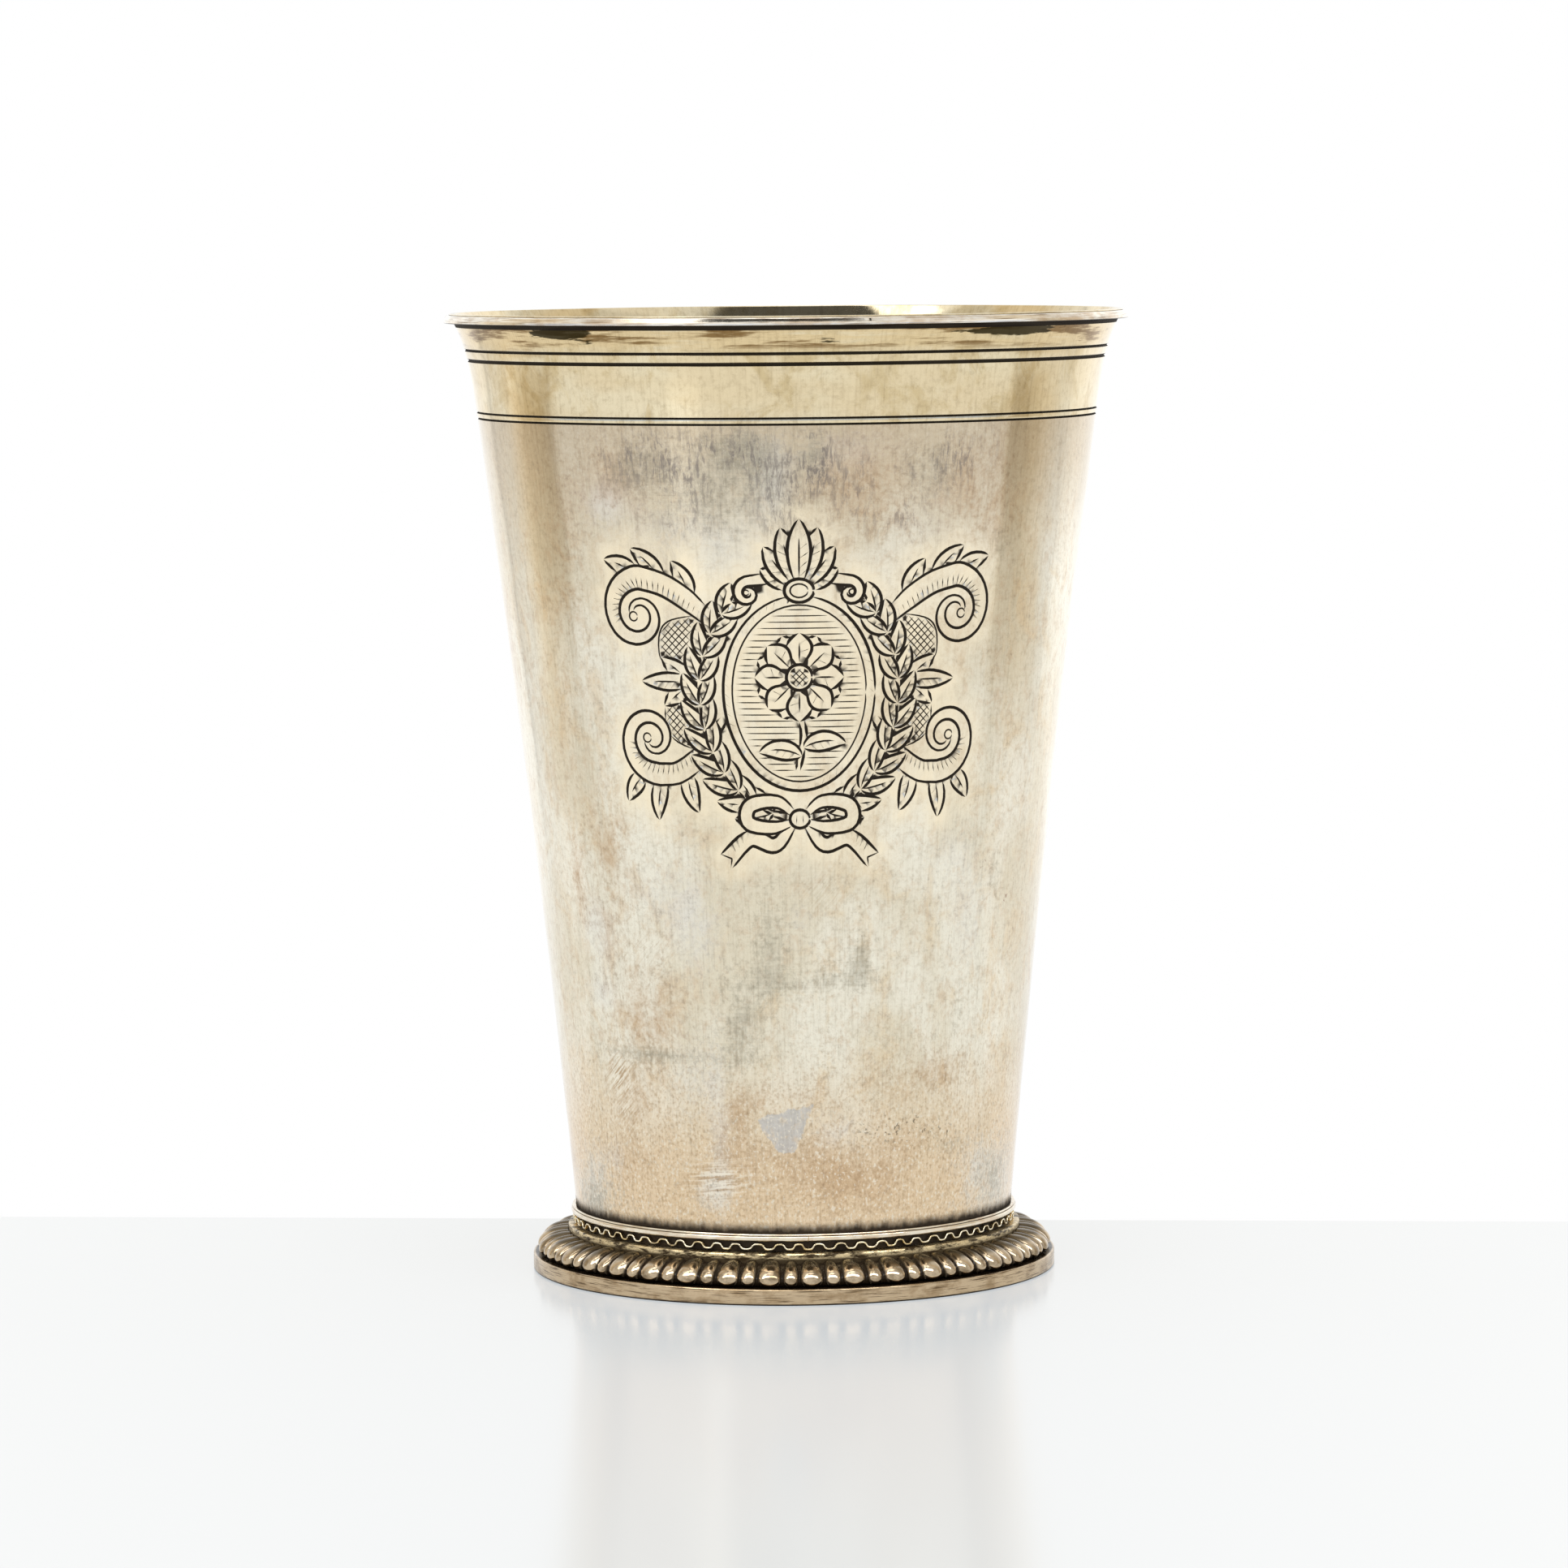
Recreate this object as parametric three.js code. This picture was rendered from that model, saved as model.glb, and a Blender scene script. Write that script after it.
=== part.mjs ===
// A footed silver beaker: a tapering drinking cup with a flared lip, standing on a low gadrooned foot.
// It is silversmith's work, so every piece is soldered to the next and nothing on it moves.
// Millimetres, +Z up. The origin is the centre of the circle that the foot stands on.

import * as THREE from "three";

// Driving dimensions

const ROUND_STEPS = 64; // flats round each turned piece
const CORNER_STEPS = 3; // flats in each rounded corner
const SOLDER_GAP = 0.1; // film of solder between two neighbouring pieces

// Cup wall, measured on its outside face
const CUP_HEIGHT = 152.3; // from the lower end of the wall to the lip
const CUP_SEAT_RADIUS = 36.25; // at the lower end
const CUP_GILT_RADIUS = 51.45; // at the lowest turned line, where the gilding ends
const CUP_BOW = 0.7; // how far the side bows inwards at half height
const WALL = 0.9;
const LIP_FLARE = 2.3; // how far the lip leaves the line of the side
const FLARE_POWER = 3.5; // how late the flare sets in

// Turned lines, each a V groove, as depths below the lip
const UPPER_LINES = [6.0, 7.7];
const UPPER_LINE_WIDTH = 0.55;
const LOWER_LINES = [16.3, 17.3];
const LOWER_LINE_WIDTH = 0.38;
const LINE_DEPTH = 0.25;

// Half-round wire soldered round the outside of the lip
const RIM_HEIGHT = 1.3;
const RIM_PROUD = 0.85;
const RIM_BELOW_LIP = 0.25;

// Floor of the cup, a disc let into the lower end of the wall
const FLOOR_THICKNESS = 1.0;
const FLOOR_SEAT = 1.2; // how far the neck ring reaches in under the floor

// Neck ring, the plain fillet that carries the cup
const NECK_FILLET = 1.0; // height that shows above the lobes
const NECK_SEAT = 1.0; // height that reaches down behind the lobes
const NECK_PROUD = 1.65; // beyond the wall's lower end
const NECK_ROUND = 0.3;

// Crimped wire, a ribbon on edge bent into waves, set round the lower end of the wall
const CRIMP_WAVES = 68;
const CRIMP_RISE = 0.95; // from the lowest to the highest line of the ribbon
const CRIMP_THICKNESS = 0.26;
const CRIMP_WIDTH = 0.6; // out from the wall
const CRIMP_BELOW = 0.25; // bare wall under the waves
const CRIMP_ABOVE = 0.4; // bare wall over the waves

// Collar wire, two reeds round the wall above the crimped wire
const COLLAR_REED = 0.7; // height of the broad lower reed
const COLLAR_BEAD = 0.4; // height of the narrow upper reed
const COLLAR_PROUD = 0.75;
const COLLAR_BEAD_SETBACK = 0.22;
const COLLAR_ROUND = 0.12;

// Gadroon ring: broad and narrow lobes by turns, struck in sheet and hollow behind
const LOBE_PAIRS = 38;
const LOBE_TURN = 3.9; // degrees from the front to the middle of a broad lobe
const BROAD_SHARE = 0.6; // of the angle that a pair of lobes takes
const LOBE_SPREAD = 5.2; // from the neck ring out to the tips of the lobes
const LOBE_RISE = 2.9; // from the widest level of the tips to the crest
const LOBE_TIP = 0.95; // from the band up to the widest level of the tips
const LOBE_TUCK = 0.7; // how far the tips draw in above the band
const LOBE_DEPTH = 1.15; // from the crest of a broad lobe to the valley beside it
const NARROW_DROP = 0.25; // how far the narrow lobes stay below the broad ones
const LOBE_FADE = 0.6; // share of its depth that a valley has lost at the neck
const LOBE_SHEET = 0.8;

// Foot band, the plain strip that stands on the table
const BAND_HEIGHT = 2.65;
const BAND_LEDGE = 0.6; // beyond the tips of the lobes
const BAND_SEAT = 1.2; // how far it reaches in under the lobes
const BAND_BEVEL = 0.15;

// Heights and radii that follow from the sizes above

const gadroonBottom = BAND_HEIGHT + SOLDER_GAP;
const gadroonHeight = LOBE_TIP + LOBE_RISE;
const gadroonTop = gadroonBottom + gadroonHeight;
const neckHeight = NECK_SEAT + NECK_FILLET;
const neckBottom = gadroonTop - NECK_SEAT;
const neckRadius = CUP_SEAT_RADIUS + NECK_PROUD;
const gadroonInnerRadius = neckRadius + SOLDER_GAP;
const tipRadius = gadroonInnerRadius + LOBE_SPREAD;
const bandRadius = tipRadius + BAND_LEDGE;
const bandInnerRadius = tipRadius - LOBE_TUCK - BAND_SEAT;
const cupBottom = neckBottom + neckHeight + SOLDER_GAP;
const giltHeight = CUP_HEIGHT - Math.max(...LOWER_LINES);
const crimpHeight = CRIMP_RISE + CRIMP_THICKNESS;
const collarBottom = CRIMP_BELOW + crimpHeight + CRIMP_ABOVE;
const collarHeight = COLLAR_REED + COLLAR_BEAD;
const floorRadius = CUP_SEAT_RADIUS - WALL - SOLDER_GAP;

// Materials

const silver = new THREE.MeshStandardMaterial({ color: 0xc8bfb2, metalness: 1, roughness: 0.32 });
const wornGilt = new THREE.MeshStandardMaterial({ color: 0xd8c9a6, metalness: 1, roughness: 0.25 });
const darkSilver = new THREE.MeshStandardMaterial({ color: 0x9c8f7e, metalness: 1, roughness: 0.3 });
const gilt = new THREE.MeshStandardMaterial({ color: 0xb79a5c, metalness: 1, roughness: 0.4 });

// Helpers

// A turned piece: a closed outline of [radius, height] points, spun round Z.
function turned(outline) {
  const points = [...outline, outline[0]].map(([radius, height]) => new THREE.Vector2(radius, height));
  return new THREE.LatheGeometry(points, ROUND_STEPS).rotateX(Math.PI / 2);
}

// A ring whose outline changes round the turn. outlineAt gives as many [radius, height] points at
// every angle, and angle 0 is at the front, on -Y.
function changingRing(angles, outlineAt) {
  const position = [];
  const index = [];
  const sides = outlineAt(angles[0]).length;
  angles.forEach((angle, step) => {
    for (const [radius, height] of outlineAt(angle)) {
      position.push(radius * Math.sin(angle), -radius * Math.cos(angle), height);
    }
    const here = step * sides;
    const next = ((step + 1) % angles.length) * sides;
    for (let side = 0; side < sides; side += 1) {
      const after = (side + 1) % sides;
      index.push(here + side, next + side, next + after, here + side, next + after, here + after);
    }
  });
  const geometry = new THREE.BufferGeometry();
  geometry.setAttribute("position", new THREE.Float32BufferAttribute(position, 3));
  geometry.setIndex(index);
  geometry.computeVertexNormals();
  return geometry;
}

// Points of a quarter round from one [radius, height] point to another, bulging towards the corner.
function quarterRound(from, to, corner) {
  const points = [];
  for (let step = 0; step <= CORNER_STEPS; step += 1) {
    const turn = (step / CORNER_STEPS) * (Math.PI / 2);
    const a = 1 - Math.sin(turn);
    const b = 1 - Math.cos(turn);
    points.push([0, 1].map((i) => corner[i] + a * (from[i] - corner[i]) + b * (to[i] - corner[i])));
  }
  return points;
}

function piece(name, geometry, material, height) {
  const mesh = new THREE.Mesh(geometry, material);
  mesh.name = name;
  mesh.position.z = height;
  return mesh;
}

// Cup wall

// Outer radius of the wall at a height above its lower end.
function wallRadius(height) {
  const rise = height / giltHeight;
  const side = CUP_SEAT_RADIUS + (CUP_GILT_RADIUS - CUP_SEAT_RADIUS) * rise;
  const bow = 4 * CUP_BOW * rise * (1 - rise);
  const flare = Math.max(0, (height - giltHeight) / (CUP_HEIGHT - giltHeight));
  return side - bow + LIP_FLARE * flare ** FLARE_POWER;
}

function heightsBetween(low, high, steps) {
  return Array.from({ length: steps }, (_, step) => low + ((high - low) * step) / steps);
}

function cupWall() {
  const sideSteps = 7;
  const lipSteps = 5;
  const grooves = [
    ...LOWER_LINES.map((depth) => ({ height: CUP_HEIGHT - depth, width: LOWER_LINE_WIDTH })),
    ...UPPER_LINES.map((depth) => ({ height: CUP_HEIGHT - depth, width: UPPER_LINE_WIDTH })),
  ].sort((a, b) => a.height - b.height);

  const outside = heightsBetween(0, grooves[0].height, sideSteps).map((h) => [wallRadius(h), h]);
  for (const { height, width } of grooves) {
    const low = height - width / 2;
    const high = height + width / 2;
    outside.push([wallRadius(low), low]);
    outside.push([wallRadius(height) - LINE_DEPTH, height]);
    outside.push([wallRadius(high), high]);
  }
  const lipStart = outside.at(-1)[1];
  for (const h of heightsBetween(lipStart, CUP_HEIGHT, lipSteps).slice(1)) {
    outside.push([wallRadius(h), h]);
  }
  outside.push([wallRadius(CUP_HEIGHT), CUP_HEIGHT]);

  const inside = [
    ...heightsBetween(0, giltHeight, sideSteps),
    ...heightsBetween(giltHeight, CUP_HEIGHT, lipSteps),
    CUP_HEIGHT,
  ].map((h) => [wallRadius(h) - WALL, h]);
  return turned([...outside, ...inside.reverse()]);
}

function rimWire() {
  const top = CUP_HEIGHT - RIM_BELOW_LIP;
  const bottom = top - RIM_HEIGHT;
  const innerTop = wallRadius(top) + SOLDER_GAP;
  const innerBottom = wallRadius(bottom) + SOLDER_GAP;
  const outer = innerTop + RIM_PROUD;
  const middle = (top + bottom) / 2;
  return turned([
    ...quarterRound([innerBottom, bottom], [outer, middle], [outer, bottom]),
    ...quarterRound([outer, middle], [innerTop, top], [outer, top]).slice(1),
  ]);
}

function floorDisc() {
  return turned([
    [0, 0],
    [floorRadius, 0],
    [floorRadius, FLOOR_THICKNESS],
    [0, FLOOR_THICKNESS],
  ]);
}

// Foot

function neckRing() {
  const inner = floorRadius - FLOOR_SEAT;
  const shoulder = neckRadius - NECK_ROUND;
  return turned([
    [inner, 0],
    [neckRadius, 0],
    ...quarterRound([neckRadius, neckHeight - NECK_ROUND], [shoulder, neckHeight], [neckRadius, neckHeight]),
    [inner, neckHeight],
  ]);
}

// The ribbon runs level along the crest of a wave, down its flank, level along the trough and up.
function crimpedWire() {
  const inner = wallRadius(CRIMP_BELOW + crimpHeight) + SOLDER_GAP;
  const outer = inner + CRIMP_WIDTH;
  const wave = (2 * Math.PI) / CRIMP_WAVES;
  const levelShare = 0.3; // of a wave that the crest takes, and the trough
  const flankShare = 0.5 - levelShare;
  const corners = [0, levelShare, levelShare + flankShare, 1 - flankShare];
  const rises = [CRIMP_RISE, CRIMP_RISE, 0, 0];
  const angles = [];
  for (let count = 0; count < CRIMP_WAVES; count += 1) {
    corners.forEach((share) => angles.push((count + share) * wave));
  }
  const riseAt = new Map(angles.map((angle, i) => [angle, rises[i % rises.length]]));
  return changingRing(angles, (angle) => {
    const low = riseAt.get(angle);
    const high = low + CRIMP_THICKNESS;
    return [
      [inner, low],
      [outer, low],
      [outer, high],
      [inner, high],
    ];
  });
}

function collarWire() {
  const inner = wallRadius(collarBottom + collarHeight) + SOLDER_GAP;
  const outer = inner + COLLAR_PROUD;
  const bead = outer - COLLAR_BEAD_SETBACK;
  const beadMiddle = COLLAR_REED + COLLAR_BEAD / 2;
  return turned([
    [inner, 0],
    [outer - COLLAR_ROUND, 0],
    [outer, COLLAR_ROUND],
    [outer, COLLAR_REED - COLLAR_ROUND],
    [bead - COLLAR_ROUND, COLLAR_REED],
    [bead, beadMiddle],
    [bead - COLLAR_ROUND, collarHeight],
    [inner, collarHeight],
  ]);
}

// Each lobe is a half round across, and a quarter round along: it starts at the neck, arches over
// and ends in a tip that tucks in above the band. The valleys follow it, deeper by LOBE_DEPTH.
function gadroonRing() {
  const pair = (2 * Math.PI) / LOBE_PAIRS;
  const broad = (pair * BROAD_SHARE) / 2;
  const narrow = pair / 2 - broad;
  const start = THREE.MathUtils.degToRad(LOBE_TURN);
  const across = [-1, -0.7, 0, 0.7]; // of a lobe's half width
  const steps = [];
  for (let count = 0; count < LOBE_PAIRS; count += 1) {
    const middle = start + count * pair;
    for (const x of across) {
      steps.push({ angle: middle + x * broad, sunk: LOBE_DEPTH * (1 - Math.sqrt(1 - x * x)) });
    }
    for (const x of across) {
      const crest = (LOBE_DEPTH - NARROW_DROP) * Math.sqrt(1 - x * x);
      steps.push({ angle: middle + pair / 2 + x * narrow, sunk: LOBE_DEPTH - crest });
    }
  }
  const sunkAt = new Map(steps.map(({ angle, sunk }) => [angle, sunk]));

  const degrees = [-90, -40, 0, 35, 65, 90];
  const quarters = degrees.map((degree) => THREE.MathUtils.degToRad(degree));
  // A point of the arch, sunk below the crest line. turn is 0 at the widest level of the tip.
  const arch = (turn, sunk) => {
    if (turn < 0) {
      return [tipRadius - sunk - LOBE_TUCK * (1 - Math.cos(turn)), LOBE_TIP * (1 + Math.sin(turn))];
    }
    const depth = sunk * (1 - LOBE_FADE * (turn / (Math.PI / 2)) ** 2);
    const radius = gadroonInnerRadius + (LOBE_SPREAD - sunk) * Math.cos(turn);
    return [radius, LOBE_TIP + (LOBE_RISE - depth) * Math.sin(turn)];
  };
  const [valleyFoot] = arch(quarters[0], LOBE_DEPTH);
  const [, valleyTop] = arch(quarters.at(-1), LOBE_DEPTH);
  const behind = [
    [gadroonInnerRadius, valleyTop - LOBE_SHEET],
    [valleyFoot - LOBE_SHEET, LOBE_TIP],
    [valleyFoot - LOBE_SHEET, 0],
  ];
  return changingRing(
    steps.map(({ angle }) => angle),
    (angle) => [...quarters.map((turn) => arch(turn, sunkAt.get(angle))), ...behind],
  );
}

function footBand() {
  return turned([
    [bandInnerRadius, 0],
    [bandRadius - BAND_BEVEL, 0],
    [bandRadius, BAND_BEVEL],
    [bandRadius, BAND_HEIGHT - BAND_BEVEL],
    [bandRadius - BAND_BEVEL, BAND_HEIGHT],
    [bandInnerRadius, BAND_HEIGHT],
  ]);
}

// Assembly: the foot stands on the table, and the cup stands in the foot.

const foot = new THREE.Group();
foot.add(
  piece("foot_band", footBand(), silver, 0),
  piece("gadroon_ring", gadroonRing(), darkSilver, gadroonBottom),
  piece("neck_ring", neckRing(), gilt, neckBottom),
);

const cup = new THREE.Group();
cup.position.z = cupBottom;
cup.add(
  piece("cup_wall", cupWall(), silver, 0),
  piece("cup_floor", floorDisc(), gilt, 0),
  piece("rim_wire", rimWire(), wornGilt, 0),
  piece("crimped_wire", crimpedWire(), wornGilt, CRIMP_BELOW),
  piece("collar_wire", collarWire(), silver, collarBottom),
);

const beaker = new THREE.Group();
beaker.add(foot, cup);

export default beaker;
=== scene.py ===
# %% [markdown]
# # A silver beaker on a gadrooned foot
#
# This lesson dresses the imported solids of a footed beaker. A silversmith raised the wall from one
# sheet of silver, turned fine lines below the lip, gilded the lip, engraved the front and soldered
# the cup into a foot made of rings. After the camera, the cells make those pieces again as fine meshes,
# in the places that the solids give. Then come the finishes, the table and the light.
#
# First the frame is loaded.

# %% Load the frame
import math
import random

import bpy
import numpy as np
from mathutils import Matrix, Vector, noise
from mathutils.geometry import delaunay_2d_cdt
from mathutils.kdtree import KDTree


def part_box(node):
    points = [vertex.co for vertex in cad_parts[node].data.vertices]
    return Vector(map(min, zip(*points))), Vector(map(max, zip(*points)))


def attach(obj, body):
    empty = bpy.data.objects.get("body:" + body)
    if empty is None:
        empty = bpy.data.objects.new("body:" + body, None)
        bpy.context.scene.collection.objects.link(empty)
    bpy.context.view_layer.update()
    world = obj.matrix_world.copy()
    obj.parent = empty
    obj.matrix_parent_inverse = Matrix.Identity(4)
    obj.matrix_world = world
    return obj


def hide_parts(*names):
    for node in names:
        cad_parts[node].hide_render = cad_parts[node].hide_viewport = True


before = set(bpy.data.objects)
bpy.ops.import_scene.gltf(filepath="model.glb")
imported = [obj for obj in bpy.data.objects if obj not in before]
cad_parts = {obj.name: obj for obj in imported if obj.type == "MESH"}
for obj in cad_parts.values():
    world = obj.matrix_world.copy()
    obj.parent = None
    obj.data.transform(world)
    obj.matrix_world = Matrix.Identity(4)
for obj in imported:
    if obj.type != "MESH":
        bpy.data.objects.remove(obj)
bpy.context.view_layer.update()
print("solids:", ", ".join(sorted(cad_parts)))

# %% [markdown]
# ## Sizes
#
# Every ring of the beaker shares one axis, so three numbers place a ring: its outer radius, its
# lowest and its highest level. They could be typed in again, but reading them from the solids keeps
# both models in step. The script thinks in millimetres and turns them into metres when it makes
# a mesh.

# %% Read the rings from the frame
MM = 0.001


def ring_span(node):
    """Outer radius, lowest level and highest level of a solid, in millimetres."""
    low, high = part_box(node)
    return high.x / MM, low.z / MM, high.z / MM


BAND_RADIUS, _, BAND_TOP = ring_span("foot_band")
TIP_RADIUS, LOBE_BOTTOM, LOBE_TOP = ring_span("gadroon_ring")
NECK_RADIUS, NECK_BOTTOM, NECK_TOP = ring_span("neck_ring")
CRIMP_RADIUS, CRIMP_BOTTOM, CRIMP_TOP = ring_span("crimped_wire")
COLLAR_RADIUS, COLLAR_BOTTOM, COLLAR_TOP = ring_span("collar_wire")
FLOOR_RADIUS, FLOOR_BOTTOM, FLOOR_TOP = ring_span("cup_floor")
_, WALL_BOTTOM, LIP_TOP = ring_span("cup_wall")
WIRE_RADIUS, WIRE_BOTTOM, WIRE_TOP = ring_span("rim_wire")
print(f"lip {2 * WIRE_RADIUS:.1f} mm and foot {2 * BAND_RADIUS:.1f} mm across, {LIP_TOP:.1f} mm tall")

# %% [markdown]
# ## Camera
#
# The photograph was taken with a long lens from a little above the lip: the mouth shows as a thin
# sliver. A long lens keeps the two sides nearly parallel. The focal length is known in pixels of the
# square photograph, so the lens follows from the sensor's width. The beaker also leans a hair to the
# left there, because the camera was not quite level.

# %% Make the camera
PHOTO_WIDTH_PX = 1932
FOCAL_PX = 8031
SENSOR_WIDTH = 36.0
CAMERA_PLACE = (-1.0, -1086.7, 176.4)
CAMERA_DOWN = math.radians(5.02)
CAMERA_ROLL = math.radians(-0.5)

camera = bpy.data.objects.new("camera", bpy.data.cameras.new("camera"))
bpy.context.scene.collection.objects.link(camera)
bpy.context.scene.camera = camera
camera.data.sensor_width = SENSOR_WIDTH
camera.data.lens = SENSOR_WIDTH * FOCAL_PX / PHOTO_WIDTH_PX
camera.matrix_world = (
    Matrix.Translation(Vector(CAMERA_PLACE) * MM)
    @ Matrix.Rotation(math.pi / 2 - CAMERA_DOWN, 4, "X")
    @ Matrix.Rotation(CAMERA_ROLL, 4, "Z")
)
print(f"lens {camera.data.lens:.1f} mm")

# %% [markdown]
# ## Rings as meshes
#
# Almost every piece is an outline carried round the axis. Blender's Spin or Screw tools could do it,
# but the lobes and the crimped ribbon change their outline as they go round. So one helper takes an
# outline for every angle and joins the neighbours with quads. Angle 0 faces the camera, and angles
# grow to the right. Edges sharper than a given angle stay crisp, the rest is shaded smooth.

# %% Helpers for rings
CRISP_ANGLE = math.radians(38)


def around(radius, angle, height):
    """Points at a radius and an angle from the front, as rows of x, y and z."""
    return np.stack(np.broadcast_arrays(radius * np.sin(angle), -radius * np.cos(angle), height), -1)


def ring_faces(steps, sides):
    """Quads of a ring of closed outlines, stored outline after outline."""
    step, side = np.meshgrid(np.arange(steps), np.arange(sides), indexing="ij")
    after_step = (step + 1) % steps
    after_side = (side + 1) % sides
    corners = (
        step * sides + side,
        after_step * sides + side,
        after_step * sides + after_side,
        step * sides + after_side,
    )
    return np.stack(corners, -1).reshape(-1, 4)


def new_piece(name, points, faces, node, crisp=CRISP_ANGLE):
    """A piece of the beaker that stands for one solid. Points are in millimetres."""
    mesh = bpy.data.meshes.new(name)
    mesh.from_pydata((points.reshape(-1, 3) * MM).tolist(), [], [list(face) for face in faces])
    mesh.shade_smooth()
    mesh.set_sharp_from_angle(angle=crisp)
    piece = bpy.data.objects.new(name, mesh)
    bpy.context.scene.collection.objects.link(piece)
    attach(piece, "root")
    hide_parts(node)
    print(f"{name}: {len(mesh.polygons)} faces")
    return piece


def store(piece, name, values):
    """Keep one number for each point of a piece, for its material to read."""
    attribute = piece.data.attributes.new(name, "FLOAT", "POINT")
    attribute.data.foreach_set("value", np.asarray(values, np.float32).ravel())


def arc(center, radius, start, end, steps):
    """Points of an arc in the outline's plane. Angles are in degrees, 0 points outwards, 90 up."""
    turn = np.radians(np.linspace(start, end, steps + 1))
    return [(center[0] + radius * math.cos(t), center[1] + radius * math.sin(t)) for t in turn]


# %% [markdown]
# ## Foot band
#
# The beaker stands on a plain strip of silver, bent into a hoop. It has a softly broken edge above and
# below, worn by the table. A lathe would make it perfectly even, and a strip bent by hand isn't: its
# outline gets a slow wave of a few hundredths of a millimetre, which only the reflections show. A ledge
# of solder joins the strip to the lobes from inside, so that no light comes through between the two.
# The lower edge is painted black, as dirt and a painted contact shadow. The strip's top and the
# ledge under the lobes are painted black as shade.

# %% Carry an outline round the axis
ROUND_STEPS = 288
HAND_WAVE = 0.03
ANGLES = np.linspace(0, 2 * math.pi, ROUND_STEPS, endpoint=False)


def hand_wave(angle, height, seed=0.0):
    """A slow unevenness of hand work, about -1 to 1."""
    slow = np.sin(3 * angle + seed + 0.11 * height)
    quick = np.sin(7 * angle + 2 * seed - 0.07 * height)
    return (slow + quick) / 2


def spun_ring(outline, wave=HAND_WAVE, seed=0.0, steps=ROUND_STEPS):
    """Points and faces of an outline of (radius, height) carried round the axis."""
    radius, height = np.asarray(outline, float).T
    angle = np.linspace(0, 2 * math.pi, steps, endpoint=False)[:, None]
    uneven = radius + wave * hand_wave(angle, height, seed)
    return around(uneven, angle, height), ring_faces(steps, len(radius))


print(f"rings have {ROUND_STEPS} steps")

# %% Make the foot band
BAND_SEAT = 2.5  # how far the strip reaches in under the lobes
BAND_EDGE = 0.22
EDGE_STEPS = 4
FACE_MARGIN = 0.1  # a row this far from the lower edge keeps the front flat
TOP_MARGIN = 0.25  # and one behind the upper edge keeps the top flat
LEDGE_REACH = 0.9  # the solder inside reaches further in than the strip
LEDGE_RISE = 0.09
LEDGE_SLOPE = 0.1
LEDGE_END = 0.4  # thickness of the solder, at its end and at the strip
LEDGE_ROOT = 0.9
HIDDEN_ROWS = 6  # rows of the outline that lie under the lobes, painted black as shade
DIRT_AND_SHADE_LEVEL = 0.27  # the edge on the table is black up to here: dirt and a painted contact shadow

strip_back = BAND_RADIUS - BAND_SEAT
ledge_back = strip_back - LEDGE_REACH
band_outline = [
    (strip_back, 0),
    *arc((BAND_RADIUS - BAND_EDGE, BAND_EDGE), BAND_EDGE, -90, 0, EDGE_STEPS),
    (BAND_RADIUS, BAND_EDGE + FACE_MARGIN),
    *arc((BAND_RADIUS - BAND_EDGE, BAND_TOP - BAND_EDGE), BAND_EDGE, 0, 90, EDGE_STEPS),
    (BAND_RADIUS - BAND_EDGE - TOP_MARGIN, BAND_TOP),
    (strip_back + LEDGE_SLOPE, BAND_TOP),
    (strip_back - LEDGE_SLOPE, BAND_TOP + LEDGE_RISE),
    (ledge_back, BAND_TOP + LEDGE_RISE),
    (ledge_back, BAND_TOP - LEDGE_END),
    (strip_back, BAND_TOP - LEDGE_ROOT),
]
band_points, band_faces = spun_ring(band_outline, seed=1.0)
standing_band = new_piece("standing_band", band_points, band_faces, "foot_band")
# the lower edge is black as dirt and a painted contact shadow; the rows under the lobes are painted shade
band_dirt_and_shade = band_points[..., 2] < DIRT_AND_SHADE_LEVEL
band_dirt_and_shade[:, -HIDDEN_ROWS:] = True
store(standing_band, "dirt_and_shade", band_dirt_and_shade)

# %% [markdown]
# ## Gadroons
#
# Gadroons are rows of plump lobes, struck into sheet from behind and chased from the front. Here
# broad and narrow ones take turns. The surface is worked out point by point: across, each lobe is
# a half round, and along, it arches from the neck over to a tip that tucks in above the band and
# narrows like an egg. Each lobe differs a little in height, lean and fullness, as chased work does.
# How deep a point lies in a gap is kept with the mesh, so that the finish can paint the gaps black,
# as dirt and painted shade.

# %% Lay out the lobes
LOBE_PAIRS = 38
FIRST_BROAD = math.radians(3.9)
BROAD_SHARE = 0.6
GAP_SHARE = 0.09  # of a lobe's half width, left as an open gap
LOBE_SQUARENESS = 2.15
NARROW_DROP = 0.22  # the crests of narrow lobes lie lower
CREST_PLAY = 0.05  # how much the lobes differ in height, lean, reach and squareness
LEAN_PLAY = 0.06
REACH_PLAY = 0.12
PLUMP_PLAY = 0.2
STEPS_PER_LOBE = 18
chaser = random.Random(7)


def lobe_columns():
    """Angle, place across its lobe, drop of the crest, reach of the tip and squareness for every step."""
    pair = 2 * math.pi / LOBE_PAIRS
    halves = (pair * BROAD_SHARE / 2, pair * (1 - BROAD_SHARE) / 2)
    columns = []
    for count in range(2 * LOBE_PAIRS):
        half = halves[count % 2]
        middle = FIRST_BROAD + (count // 2) * pair + (count % 2) * pair / 2
        drop = max(0.0, NARROW_DROP * (count % 2) + chaser.uniform(-CREST_PLAY, CREST_PLAY))
        lean = chaser.uniform(-LEAN_PLAY, LEAN_PLAY)
        reach = chaser.uniform(-REACH_PLAY, 0.0)
        plump = LOBE_SQUARENESS + chaser.uniform(-PLUMP_PLAY, PLUMP_PLAY)
        for x in np.linspace(-1, 1, STEPS_PER_LOBE, endpoint=False):
            across = abs(x - lean * (1 - x * x)) / (1 - GAP_SHARE)
            columns.append((middle + x * half, across, drop, reach, plump))
    return np.array(columns).T


lobe_angle, lobe_across, lobe_drop, lobe_reach, lobe_plump = (row[:, None] for row in lobe_columns())
print(f"lobes: {LOBE_PAIRS} broad, {LOBE_PAIRS} narrow, {len(lobe_angle)} steps round")

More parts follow.
